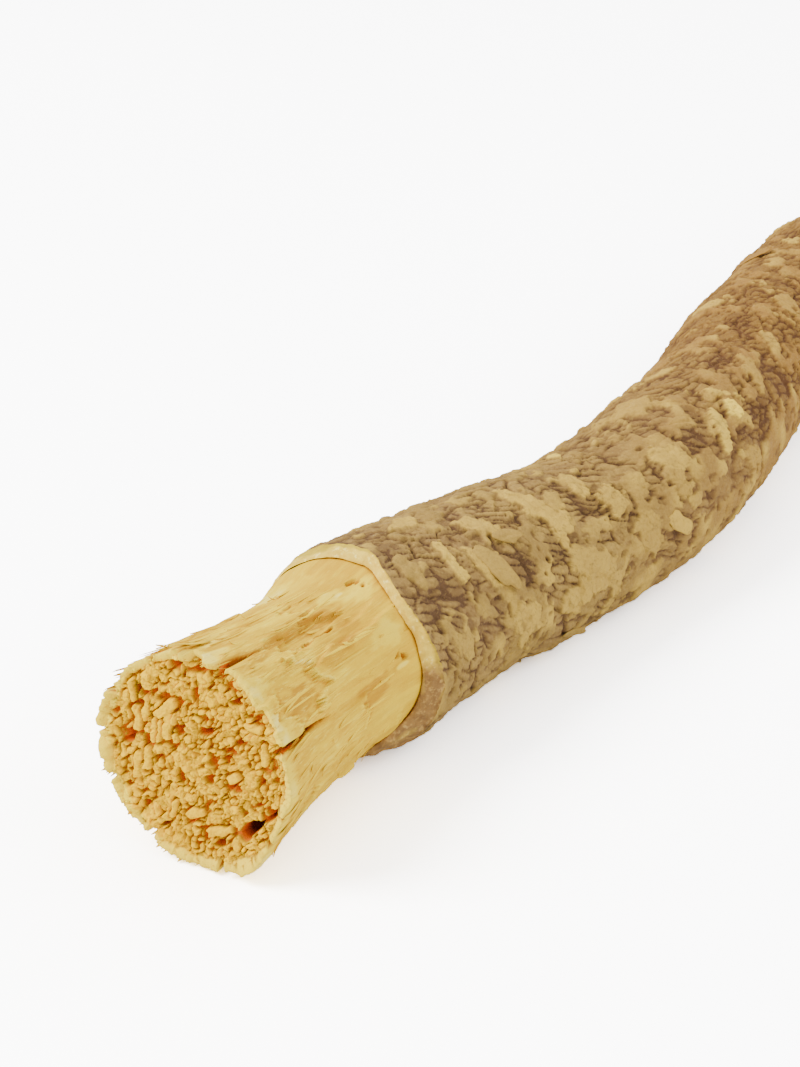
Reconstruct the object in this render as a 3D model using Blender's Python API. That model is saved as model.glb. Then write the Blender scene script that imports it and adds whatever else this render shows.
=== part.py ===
"""A miswak stick: a length of root in its bark, peeled at one end, where the wood is frayed to a brush.

Two solids are built, one for each layer that the peeled end shows: bark, a sleeve with a knife-cut
collar, and wood, the root's core, whose end is split into fibre bundles. Lengths are millimetres
until the last step writes metres.

Both are drawn on a straight stick first, in (along, left, up), with along = 0 at the brush face, and
bend() then lays them along the curved root. Angles round the stick start at its left (+Y) side and
pass the top at 90 degrees.
"""

import math

import bmesh
import bpy
import numpy as np
from mathutils import Matrix, Vector
from mathutils.geometry import delaunay_2d_cdt

METRES_PER_MM = 0.001
TURN = 2 * math.pi
SEED = 11

# The root as a whole
LENGTH = 150.0  # from the brush face to the cut end, along the centreline
START = (-74.2, -0.47)  # where the centreline starts, so that the origin is under the stick's middle
START_HEADING = 0.4  # degrees from +X
BENDS = (  # (where it starts, how long it is, degrees to the left)
    (11.5, 18.0, -9.3),
    (30.0, 32.0, 19.2),
    (76.5, 24.0, -16.0),
    (100.0, 24.0, 11.0),
    (128.0, 20.0, -6.0),
)
END_SLANT = (0.12, 46.0)  # how far the far cut leans, along per mm across, and towards which angle
PATH_STEP = 0.5

# The bark
COLLAR = 14.6  # where the bark starts
BARK_RADIUS = 5.45
SWELLINGS = (  # (centre, half-width, extra radius)
    (14.6, 5.0, 0.45),
    (36.0, 7.0, -0.35),
    (70.0, 6.0, 0.15),
    (97.0, 8.0, 0.45),
    (124.0, 9.0, -0.15),
    (150.0, 12.0, -0.25),
)
WALL = 0.8
GAP = 0.3  # between the wood and the bark
REST_DEPTH = 0.15  # how much of the underside is worn flat where it lies
BEVEL = (0.75, 0.55, 60.0)  # the collar's knife cut: mean length, its swing and its longest side's angle
MOUTH_FLARE = 0.1
COLLAR_WAVES = ((1, 0.21, 0.6), (3, 0.14, 1.1))  # (waves round the collar, height, phase)
BARK_COLUMNS = 40
BARK_ROWS = 104
HIDDEN_STEP = 8.0  # between rows of the bore and of the wood inside it

# The bark's raised net and its corky plates; a noise's scale is (length along, cells round the stick)
NET = (5.4, 11)  # one mesh's length along, and the meshes round the stick
NET_JITTER = (0.12, 0.88)
NET_WANDER, WANDER_SCALE = 0.9, (7.0, 5)
GROOVE = 0.5
GROOVE_SOFTNESS = 0.36
RIDGE_MEAN = 0.75  # the net's mean height over its grooves
LUMP, LUMP_SCALE = 0.12, (5.0, 9)
PLATE_LIFT = 0.4
PLATE_EDGE = 0.3
PLATE_RAGGED, RAGGED_SCALE = 0.25, (1.6, 24)
PLATES = (  # (along, angle, length, width, turn from the stick's own line) on its front and upper side
    (16.4, 127, 2.4, 1.4, 100),
    (17.6, 173, 3.6, 1.8, 27),
    (18.3, 91, 2.2, 1.1, 23),
    (18.4, 121, 2.9, 1.3, 84),
    (21.6, 140, 3.0, 1.7, 73),
    (23.0, 118, 3.2, 1.6, 58),
    (23.4, 180, 4.0, 3.0, 32),
    (29.2, 182, 4.2, 2.0, 11),
    (29.4, 120, 5.2, 2.1, 61),
    (32.0, 175, 7.4, 2.7, 25),
    (32.5, 113, 2.6, 1.4, 90),
    (34.6, 134, 2.2, 1.9, 65),
    (35.2, 76, 2.4, 1.1, 90),
    (37.1, 167, 3.4, 2.4, 50),
    (40.8, 134, 3.2, 1.3, 35),
    (41.3, 152, 3.2, 1.4, 65),
    (43.6, 80, 6.4, 2.2, 3),
    (47.4, 136, 3.0, 1.3, 106),
    (47.6, 156, 4.2, 2.0, -4),
    (50.5, 130, 1.9, 1.4, 71),
    (56.5, 123, 3.4, 2.2, 138),
    (62.3, 121, 1.8, 1.1, 127),
    (72.7, 118, 6.4, 3.0, 158),
)
PLATED = (14.0, 76.0, 62.0, 190.0)  # the stretch and the angles that PLATES covers
MORE_PLATES = 46
MORE_LENGTH, MORE_WIDTH, MORE_TURN = (2.2, 5.5), (1.3, 2.6), (75, 35)

# The brush
BRUSH_RADIUS = 5.8
WAIST_RADIUS = 4.8
FLARE_LENGTH = 9.0
RIM_CLEARANCE = 0.15  # the brush ends this far over the table
FACE_RADIUS = 5.2  # of the bundled fibres, inside the rim
RING_STEP = 0.52
BUNDLE_WIDTH = (0.56, 0.08)  # round its ring, at the centre and more for each mm from it
BUNDLE_JITTER = (0.25, 0.1)  # share of its width, and mm outwards
BUNDLE_DEPTH = 1.6
BUNDLE_GAP = 0.07
BUNDLE_RISE = (-0.25, 0.4)  # how far below or past the face a bundle ends
BUNDLE_SLOPE = 0.35
BUNDLE_TAPER = 0.88
MIRRORED_RINGS = 2.5
CORNER_MERGE = 0.09
WOOD_COLUMNS = 60
RIM_LIP = (0.15, 0.05)  # the rim's inner edge: how far behind its tips, and outside the bundles
STAVES = 13  # splinters that the rim is split into
STAVE_RISE = (-0.4, 0.25)
RIM_RAGGED = 0.16
TEETH = (  # (angle, reach) of the longest splinters
    (30, 0.6),
    (95, 1.5),
    (190, 0.6),
    (208, 0.8),
    (236, 0.7),
    (330, 0.8),
)
SPLITS = (  # (angle, length, depth)
    (24, 6.0, 0.6),
    (60, 5.0, 0.5),
    (114, 7.5, 0.75),
    (159, 5.5, 0.7),
    (216, 4.5, 0.6),
    (252, 5.0, 0.55),
    (300, 6.0, 0.6),
    (342, 4.6, 0.55),
)
STRIPS = (  # (angle, half-width in degrees, start, end, lift) of layers that stand proud of the side
    (5, 13, 0.0, 9.5, 0.2),
    (42, 13, 1.0, 8.0, 0.2),
    (101, 10, 0.0, 8.5, 0.22),
    (139, 15, 0.0, 10.0, 0.24),
    (172, 9, 0.0, 6.5, 0.14),
    (234, 14, 0.0, 8.0, 0.2),
    (282, 14, 1.2, 11.0, 0.2),
    (322, 12, 0.0, 7.0, 0.18),
)
STRIP_EDGE, STRIP_FADE = 0.4, 1.5
STREAK, STREAK_SCALE, STREAK_FADE = 0.16, (5.0, 30), 5.0
SIDE_ROWS = (0.9, 1.9, 3.1, 4.5, 6.0, 7.7, 9.4, 11.2, 13.0, 15.2)
CORE_COLUMNS = 30
CORE_START = 17.5


def smoothstep(x):
    """0 below 0, 1 above 1 and an S curve between."""
    x = np.clip(x, 0.0, 1.0)
    return x * x * (3 - 2 * x)


def heading(along):
    """The centreline's direction at a point along it, in radians from +X: the bends so far, added up."""
    turned = START_HEADING + sum(turn * smoothstep((along - start) / span) for start, span, turn in BENDS)
    return np.radians(turned)


def bark_radius(along):
    """The bark's mean radius: the root's own, with a bell curve for each swelling."""
    extra = sum(size * np.exp(-(((along - centre) / half) ** 2)) for centre, half, size in SWELLINGS)
    return BARK_RADIUS + extra


def bore_radius(along):
    return bark_radius(along) - WALL


def wood_radius(along):
    """The wood fills the bore less the gap; past the collar it has a waist and flares to the brush."""
    flare = (BRUSH_RADIUS - WAIST_RADIUS) * np.clip(1 - along / FLARE_LENGTH, 0, 1) ** 2
    return np.where(along > COLLAR, bore_radius(along) - GAP, WAIST_RADIUS + flare)


def axis_height(along):
    """Height of the centreline over the table: the bark lies on it, and the brush's rim nearly does."""
    lying = bark_radius(np.maximum(along, COLLAR)) - REST_DEPTH
    brush = BRUSH_RADIUS + RIM_CLEARANCE
    return np.where(along < COLLAR, brush + (lying - brush) * smoothstep(along / COLLAR), lying)


PATH_ALONG = np.arange(-5.0, LENGTH + 5.0, PATH_STEP)
PATH_STEPS = np.stack([np.cos(heading(PATH_ALONG)), np.sin(heading(PATH_ALONG))]) * PATH_STEP
PATH_RUN = np.cumsum(PATH_STEPS, axis=1) - PATH_STEPS / 2


def on_path(along):
    """The centreline's (x, y) at a point along it."""
    origin = [np.interp(0.0, PATH_ALONG, run) for run in PATH_RUN]
    return [np.interp(along, PATH_ALONG, run) - o + s for run, o, s in zip(PATH_RUN, origin, START)]


def bend(points):
    """Lays (along, left, up) points of the straight stick along the root, none below the table."""
    along, left, up = np.asarray(points, float).T
    x, y = on_path(along)
    turned = heading(along)
    z = np.maximum(axis_height(along) + up, 0.0)
    return np.stack([x - left * np.sin(turned), y + left * np.cos(turned), z], axis=-1)


def round_stick(along, angle, radius):
    """Points of the straight stick at an angle and a distance from its axis."""
    return np.stack(np.broadcast_arrays(along, radius * np.cos(angle), radius * np.sin(angle)), axis=-1)


def ring_angles(count):
    return np.arange(count) * TURN / count


def turned_from(angle, degrees):
    """The angle between two directions round the stick, from minus to plus half a turn."""
    return (angle - math.radians(degrees) + math.pi) % TURN - math.pi


def noise_lattice(rng, scale):
    return rng.uniform(-1, 1, (int(LENGTH / scale[0]) + 3, scale[1]))


def soft_noise(along, angle, lattice, scale):
    """Smooth noise from -1 to 1: random values a scale apart, blended between, closed round the stick."""
    rows, columns = lattice.shape
    u, v = along / scale[0], angle / TURN * scale[1]
    row, column = np.floor(u).astype(int), np.floor(v).astype(int)
    fu, fv = smoothstep(u - row), smoothstep(v - column)
    row, after = row % rows, (row + 1) % rows
    column, beside = column % columns, (column + 1) % columns
    near = lattice[row, column] * (1 - fv) + lattice[row, beside] * fv
    far = lattice[after, column] * (1 - fv) + lattice[after, beside] * fv
    return near * (1 - fu) + far * fu


def net_borders(u, v, jitter):
    """How far a point is inside its mesh of the net: its distances to the nearest two knots, subtracted."""
    rows, columns = jitter.shape[:2]
    iu, iv = np.floor(u).astype(int), np.floor(v).astype(int)
    nearest = second = np.full(np.shape(u), np.inf)
    for du in (-1, 0, 1):
        for dv in (-1, 0, 1):
            shift = jitter[(iu + du) % rows, (iv + dv) % columns]
            distance = np.hypot(iu + du + shift[..., 0] - u, iv + dv + shift[..., 1] - v)
            second = np.minimum(second, np.maximum(distance, nearest))
            nearest = np.minimum(nearest, distance)
    return second - nearest


def all_plates(rng):
    """The listed plates, and more of them by a rule on the rest of the bark."""
    plates = list(PLATES)
    first, last, low, high = PLATED
    while len(plates) < len(PLATES) + MORE_PLATES:
        along, angle = rng.uniform(COLLAR + MORE_WIDTH[1], LENGTH), rng.uniform(0, 360)
        size = rng.uniform(*MORE_LENGTH), rng.uniform(*MORE_WIDTH), rng.normal(*MORE_TURN)
        if not (first < along < last and low < angle < high):
            plates.append((along, angle, *size))
    return plates


def plate_cover(along, angle, plate, ragged):
    """1 on a plate and 0 off it: an oval laid on the bark, with a ragged edge that falls sharply."""
    centre, degrees, length, width, turn = plate
    across = turned_from(angle, degrees) * BARK_RADIUS
    c, s = math.cos(math.radians(turn)), math.sin(math.radians(turn))
    forward, aside = (along - centre) * c + across * s, across * c - (along - centre) * s
    size = np.hypot(forward / (length / 2), aside / (width / 2)) + PLATE_RAGGED * ragged
    return smoothstep((1 - size) / PLATE_EDGE + 0.5)


def bark_relief(along, angle):
    """Height of the bark over its mean radius: a net of grooves between ridges, with plates lying on it."""
    rng = np.random.default_rng(SEED)
    jitter = rng.uniform(*NET_JITTER, (int(LENGTH / NET[0]) + 3, NET[1], 2))
    wander = soft_noise(along, angle, noise_lattice(rng, WANDER_SCALE), WANDER_SCALE)
    lump = LUMP * soft_noise(along, angle, noise_lattice(rng, LUMP_SCALE), LUMP_SCALE)
    ragged = soft_noise(along, angle, noise_lattice(rng, RAGGED_SCALE), RAGGED_SCALE)
    inside = net_borders(along / NET[0], angle / TURN * NET[1] + NET_WANDER * wander, jitter)
    height = GROOVE * (smoothstep(inside / GROOVE_SOFTNESS) - RIDGE_MEAN) + lump
    for plate in all_plates(rng):
        cover = plate_cover(along, angle, plate, ragged)
        height = height * (1 - cover) + (PLATE_LIFT + lump / 2) * cover
    return height


def skin_rings(bm, grid):
    """A ring of vertices for each row of an array of straight-stick points."""
    return [[bm.verts.new(p) for p in row] for row in grid]


def join_rings(bm, rings):
    """Faces between each ring and the next; they point outwards where the next is further along."""
    for first, second in zip(rings, rings[1:]):
        for k in range(len(first)):
            n = (k + 1) % len(first)
            bm.faces.new((first[k], first[n], second[n], second[k]))


def ring_edges(bm, ring):
    """The edges round a ring, made where they are missing."""
    pairs = [(ring[k], ring[(k + 1) % len(ring)]) for k in range(len(ring))]
    return [bm.edges.get(pair) or bm.edges.new(pair) for pair in pairs]


def collar_edge(angle):
    """Where the bark's outer edge is at the collar: a cut that wavers round the stick."""
    return COLLAR + sum(height * np.sin(waves * angle + phase) for waves, height, phase in COLLAR_WAVES)


def far_cut(angle, radius):
    """Where the far cut meets a given radius: one leaning plane through the bark and the wood."""
    lean, degrees = END_SLANT
    return LENGTH + lean * radius * np.cos(turned_from(angle, degrees))


def hidden_rows():
    """Rows inside the bark, the same for the bore and for the wood in it, so that the gap stays even."""
    return [CORE_START, *np.arange(CORE_START + HIDDEN_STEP, LENGTH - HIDDEN_STEP / 2, HIDDEN_STEP)]


def bark_mesh():
    """The sleeve: its outside, over the far cut, back through the bore and over the collar's bevel."""
    bm = bmesh.new()
    angle = ring_angles(BARK_COLUMNS)
    start, end = collar_edge(angle), far_cut(angle, bark_radius(LENGTH))
    along = start + (end - start) * np.linspace(0, 1, BARK_ROWS + 1)[:, None]
    outside = round_stick(along, angle, bark_radius(along) + bark_relief(along, angle))
    mean, swing, longest = BEVEL
    lip = start - mean - swing * np.cos(turned_from(angle, longest))
    mouth = round_stick(lip, angle, bore_radius(COLLAR) + MOUTH_FLARE)
    throat = round_stick(COLLAR, angle, bore_radius(COLLAR))
    bore = [round_stick(along, angle, bore_radius(along)) for along in reversed(hidden_rows())]
    out = round_stick(far_cut(angle, bore_radius(LENGTH)), angle, bore_radius(LENGTH))
    rings = skin_rings(bm, [*outside, out, *bore, throat, mouth])
    join_rings(bm, rings + rings[:1])
    return bm


def bundle_sites(rng):
    """One point for each fibre bundle of the brush face.

    They lie in rings like the root's growth rings, and each bundle is drawn out along its ring.
    """
    sites = [(0.0, 0.0)]
    aside, outwards = BUNDLE_JITTER
    for ring in np.arange(RING_STEP, FACE_RADIUS - RING_STEP / 3, RING_STEP):
        count = round(TURN * ring / (BUNDLE_WIDTH[0] + BUNDLE_WIDTH[1] * ring))
        start = rng.uniform(0, TURN)
        turn = start + (np.arange(count) + rng.uniform(-aside, aside, count)) * TURN / count
        radius = ring + rng.uniform(-outwards, outwards, count)
        sites += list(zip(radius * np.cos(turn), radius * np.sin(turn)))
    return sites


def cell_corners(sites):
    """Cells nearest to each site: all corner points, and for each cell the numbers of its corners in order.

    A cell's corners are the centres of the circles through the Delaunay triangles round its site. The outer
    sites are mirrored in the face's edge, so that their cells end there.
    """
    outer = [s for s in sites if math.hypot(*s) > FACE_RADIUS - MIRRORED_RINGS * RING_STEP]
    mirrored = [Vector(s) * (2 * FACE_RADIUS / math.hypot(*s) - 1) for s in outer]
    points = [Vector(s) for s in sites] + mirrored
    verts, _, triangles, origin, _, _ = delaunay_2d_cdt(points, [], [], 0, 1e-7)
    index = {o[0]: k for k, o in enumerate(origin) if o}
    centres, around = [], {k: [] for k in range(len(sites))}
    for number, triangle in enumerate(triangles):
        a, b, c = (verts[i] for i in triangle)
        b, c = b - a, c - a
        twice = 2 * (b.x * c.y - b.y * c.x)
        x = (c.y * b.length_squared - b.y * c.length_squared) / twice
        y = (b.x * c.length_squared - c.x * b.length_squared) / twice
        centres.append(a + Vector((x, y)))
        for k in around:
            if index[k] in triangle:
                around[k].append(number)
    for k, numbers in around.items():
        site = Vector(sites[k])
        numbers.sort(key=lambda n, p=site: math.atan2(centres[n].y - p.y, centres[n].x - p.x))
    return centres, list(around.values())


def brush_face(bm, rng):
    """The fibre bundles: a floor of cells, each inset and raised to its own height.

    It returns the floor's outer edges.
    """
    centres, cells = cell_corners(bundle_sites(rng))
    used = sorted({n for cell in cells for n in cell})
    corner = {n: bm.verts.new((BUNDLE_DEPTH, *centres[n])) for n in used}
    for cell in cells:
        bm.faces.new([corner[n] for n in reversed(cell)])
    bmesh.ops.remove_doubles(bm, verts=bm.verts, dist=CORNER_MERGE)
    cells = list(bm.faces)
    bmesh.ops.inset_individual(bm, faces=cells, thickness=BUNDLE_GAP)
    for face in cells:
        middle = face.calc_center_median()
        rise = BUNDLE_DEPTH + rng.uniform(*BUNDLE_RISE)
        slope = Vector((0, *rng.uniform(-BUNDLE_SLOPE, BUNDLE_SLOPE, 2)))
        for vert in face.verts:
            vert.co = middle + (vert.co - middle) * BUNDLE_TAPER
            vert.co.x -= rise + (vert.co - middle).dot(slope)
    return [e for e in bm.edges if e.is_boundary]


def splits_at(along, angle):
    """How deep the splits cut the brush's side: notches one column wide, shallower towards their ends."""
    cut = np.zeros(np.broadcast(along, angle).shape)
    column = TURN / WOOD_COLUMNS
    for degrees, length, depth in SPLITS:
        off = np.abs(turned_from(angle, degrees)) / column
        cut = np.maximum(cut, depth * np.clip(1 - off, 0, 1) * np.sqrt(np.clip(1 - along / length, 0, 1)))
    return cut


def rim_rise(angle, rng):
    """How far each column of the rim reaches past the face: staves with a torn edge, and long teeth."""
    count = len(angle)
    stave = np.arange(count) * STAVES // count
    rise = rng.uniform(*STAVE_RISE, STAVES)[stave] + rng.uniform(-RIM_RAGGED, RIM_RAGGED, count)
    for degrees, reach in TEETH:
        rise[round(degrees / 360 * count)] = reach
    return rise


def side_relief(along, angle, rng):
    """The peeled side: long narrow ridges and raised strips, which fade towards the collar."""
    height = STREAK * soft_noise(along, angle, noise_lattice(rng, STREAK_SCALE), STREAK_SCALE)
    for degrees, half, start, end, lift in STRIPS:
        off = np.abs(turned_from(angle, degrees)) / math.radians(half)
        strip = smoothstep((1 - off) / STRIP_EDGE + 0.5) * smoothstep((end - along) / STRIP_FADE)
        height = height + lift * strip * (along >= start)
    return height * smoothstep((COLLAR - along) / STREAK_FADE)


def wood_mesh():
    """The core: brush face, rim, peeled side, and the plain rod inside the bark up to the far cut."""
    bm = bmesh.new()
    rng = np.random.default_rng(SEED)
    floor = brush_face(bm, rng)
    angle = ring_angles(WOOD_COLUMNS)
    rise = rim_rise(angle, rng)
    behind, outside = RIM_LIP
    lip = round_stick(behind - rise, angle, FACE_RADIUS + outside)
    tip = round_stick(-rise, angle, BRUSH_RADIUS - splits_at(0.0, angle))
    along = np.array(SIDE_ROWS)[:, None]
    side_radius = wood_radius(along) + side_relief(along, angle, rng) - splits_at(along, angle)
    rings = skin_rings(bm, [lip, tip, *round_stick(along, angle, side_radius)])
    join_rings(bm, rings)
    turn = ring_angles(CORE_COLUMNS)
    rod = [round_stick(along, turn, wood_radius(along)) for along in hidden_rows()]
    end = round_stick(far_cut(turn, wood_radius(LENGTH)), turn, wood_radius(LENGTH))
    core = skin_rings(bm, [*rod, end])
    join_rings(bm, core)
    bm.faces.new(core[-1])
    bmesh.ops.bridge_loops(bm, edges=floor + ring_edges(bm, rings[0]))
    bmesh.ops.bridge_loops(bm, edges=ring_edges(bm, rings[-1]) + ring_edges(bm, core[0]))
    return bm


def material(name, colour, roughness):
    made = bpy.data.materials.new(name)
    made.use_nodes = True
    shader = made.node_tree.nodes["Principled BSDF"]
    shader.inputs["Base Color"].default_value = (*colour, 1.0)
    shader.inputs["Roughness"].default_value = roughness
    shader.inputs["Metallic"].default_value = 0.0
    return made


def solid(name, bm, finish):
    """Bends the straight-stick mesh, splits it into triangles and adds it to the scene in metres."""
    bmesh.ops.triangulate(bm, faces=bm.faces)
    for vert, place in zip(bm.verts, bend([v.co for v in bm.verts])):
        vert.co = place
    bmesh.ops.recalc_face_normals(bm, faces=bm.faces)
    bmesh.ops.transform(bm, matrix=Matrix.Scale(METRES_PER_MM, 4), verts=bm.verts)
    mesh = bpy.data.meshes.new(name)
    bm.to_mesh(mesh)
    bm.free()
    mesh.materials.append(finish)
    bpy.context.scene.collection.objects.link(bpy.data.objects.new(name, mesh))


def main():
    for old in list(bpy.data.objects):
        bpy.data.objects.remove(old)
    solid("bark", bark_mesh(), material("bark", (0.36, 0.25, 0.13), 0.9))
    solid("wood", wood_mesh(), material("peeled wood", (0.78, 0.58, 0.26), 0.75))


main()
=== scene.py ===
"""The looks of a miswak stick: rough bark, its cut collar, peeled wood and a brush of frayed fibre bundles.

Every surface is drawn on a straight stick first, in millimetres, as (along, angle, radius): along = 0 is the
brush face, the angle starts at the stick's left (+Y) side and passes the top at 90 degrees. lay() then lays
it along the curved root and makes it metres. Each random draw has a name, so it is the same in every run.
"""

import math

import bpy
import numpy as np
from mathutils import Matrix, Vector


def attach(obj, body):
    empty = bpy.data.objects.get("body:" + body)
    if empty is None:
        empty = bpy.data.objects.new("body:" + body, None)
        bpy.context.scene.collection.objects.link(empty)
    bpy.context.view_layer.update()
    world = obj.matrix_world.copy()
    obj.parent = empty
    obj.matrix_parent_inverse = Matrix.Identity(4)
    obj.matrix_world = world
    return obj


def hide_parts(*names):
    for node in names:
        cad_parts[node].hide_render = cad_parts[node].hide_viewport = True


METRES_PER_MM = 0.001
TURN = 2 * math.pi

# The root as a whole
LENGTH = 150.0
START = (-74.2, -0.47)
START_HEADING = 0.4  # degrees from +X
BENDS = (  # (where it starts, how long it is, degrees to the left)
    (11.5, 18.0, -9.3),
    (30.0, 32.0, 19.2),
    (76.5, 24.0, -16.0),
    (100.0, 24.0, 11.0),
    (128.0, 20.0, -6.0),
)
END_SLANT = (0.12, 46.0)  # how far the far cut leans, along per mm across, and towards which angle
PATH_STEP, PATH_MARGIN = 0.25, 8.0  # between its points, and how far it is drawn past both ends

# The bark
COLLAR = 14.6
BARK_RADIUS = 5.45
SWELLINGS = (  # (centre, half-width, extra radius)
    (14.6, 5.0, 0.45),
    (36.0, 7.0, -0.35),
    (70.0, 6.0, 0.15),
    (97.0, 8.0, 0.45),
    (124.0, 9.0, -0.15),
    (150.0, 12.0, -0.25),
)
WALL = 0.8
REST_DEPTH = 0.15
COLLAR_CUT = (  # (angle, where the knife cut begins on the bark, where it meets the wood, radius there)
    (0, 14.6, 13.8, 5.2),
    (30, 14.9, 13.7, 5.45),
    (48, 15.1, 13.7, 5.55),
    (70, 15.2, 14.4, 5.35),
    (90, 15.2, 14.5, 5.2),
    (102, 15.0, 14.5, 5.15),
    (112, 14.05, 13.85, 5.2),
    (125, 13.5, 13.35, 5.25),
    (137, 13.35, 13.2, 5.2),
    (150, 13.55, 13.3, 5.1),
    (165, 13.9, 13.4, 5.05),
    (185, 14.3, 13.5, 5.0),
    (205, 14.4, 13.2, 4.92),
    (220, 14.3, 12.0, 4.86),
    (235, 14.1, 11.0, 4.86),
    (260, 14.0, 11.0, 4.86),
    (285, 14.2, 12.2, 4.9),
    (320, 14.4, 13.4, 5.05),
)
COLLAR_COLUMNS, COLLAR_ROWS = 640, 24
BARK_STRETCHES = ((0, 38.0, 296), (38.0, 88.0, 270), (88.0, LENGTH, 200))  # (start, end, rows)
BARK_COLUMNS = 320
WRINKLE_SLANT = math.tan(math.radians(16))
CREASES = (  # nets of grooves: (mesh length along, meshes round the stick, groove width, depth)
    (1.9, 60, 0.34, 0.17),
    (0.8, 110, 0.22, 0.05),
    (4.8, 17, 0.12, 0.2),
)
PLATES = (  # (along, angle, length, width, turn from the stick's own line, tint) on its front and upper side
    (15.6, 122, 2.7, 1.5, 100, 0.2),
    (17.2, 176, 2.6, 1.5, 27, 0.4),
    (20.0, 85, 3.0, 1.3, -20, 0.8),
    (19.2, 124, 3.3, 1.3, 100, 1.1),
    (21.6, 140, 3.0, 1.7, 73, 0.8),
    (23.8, 117, 3.2, 1.6, 58, 0.8),
    (23.4, 180, 4.0, 3.0, 32, 0.7),
    (29.2, 182, 4.2, 2.0, 11, 0.7),
    (29.2, 122, 5.2, 2.0, 61, 0.9),
    (32.0, 175, 7.4, 2.7, 25, 0.6),
    (33.1, 113, 2.6, 1.4, 90, 0.9),
    (35.0, 134, 2.2, 1.9, 65, 0.8),
    (35.9, 76, 2.4, 1.1, 90, 1.3),
    (37.1, 167, 3.4, 2.4, 50, 0.5),
    (41.8, 131, 3.4, 1.4, 35, 0.9),
    (41.3, 152, 3.2, 1.4, 65, 0.5),
    (43.6, 80, 6.4, 2.2, 3, 0.6),
    (48.0, 139, 3.6, 1.3, 110, 1.2),
    (50.6, 165, 2.4, 1.8, 60, 0.6),
    (51.3, 131, 2.2, 1.6, 60, 1.6),
    (51.4, 119, 4.0, 1.2, 37, 1.1),
    (57.4, 126, 3.2, 2.2, 138, 0.7),
    (63.9, 122, 2.0, 1.2, 110, 0.9),
    (71.4, 116, 5.4, 2.8, 158, 0.7),
)
PLATED = (14.0, 76.0, 62.0, 190.0)  # the stretch and the angles that the lists cover
# More of both by a rule: number, extra clear angle, stretch, lengths, widths, turns, and tints or lifts
MORE_PLATES = (46, 0, (COLLAR + 2, LENGTH), (2.2, 5.5), (1.3, 2.6), (75, 35), (0.4, 1.05))
MORE_FLAKES = (34, 30, (COLLAR + 3, LENGTH - 3), (1.4, 3.0), (0.7, 1.4), (60, 40), (0.15, 0.35))
PLATE_SIZE, PLATE_LIFT, PLATE_EDGE = 0.9, 0.2, 0.12
CRUST_LIFT, CRUST_EDGE = 0.12, 0.1
SHADES = (  # (along, angle, half-length, half-width in degrees) of patches where the crust is gone and dark
    (15.9, 103, 1.1, 9),
    (17.5, 138, 1.2, 13),
    (15.0, 146, 0.8, 6),
    (16.6, 158, 1.0, 7),
    (22.5, 100, 1.6, 6),
    (21.5, 162, 0.9, 7),
    (24.8, 150, 0.9, 8),
    (28.2, 148, 0.9, 10),
    (41.1, 150, 0.6, 11),
    (44.6, 131, 1.1, 11),
    (46.9, 118, 1.0, 13),
    (50.8, 150, 0.9, 8),
    (54.9, 146, 1.7, 10),
    (55.6, 99, 1.2, 8),
    (60.5, 152, 1.6, 9),
    (64.5, 93, 2.0, 8),
)
FLAKES = (  # (along, angle, length, width, turn, lift) of plates that have come loose at one end
    (22.4, 141, 3.2, 1.5, 60, 0.35),
    (24.6, 128, 1.9, 0.9, 20, 0.25),
    (40.0, 171, 2.4, 1.2, 40, 0.3),
)
FLAKE_GRID = 15

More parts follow.
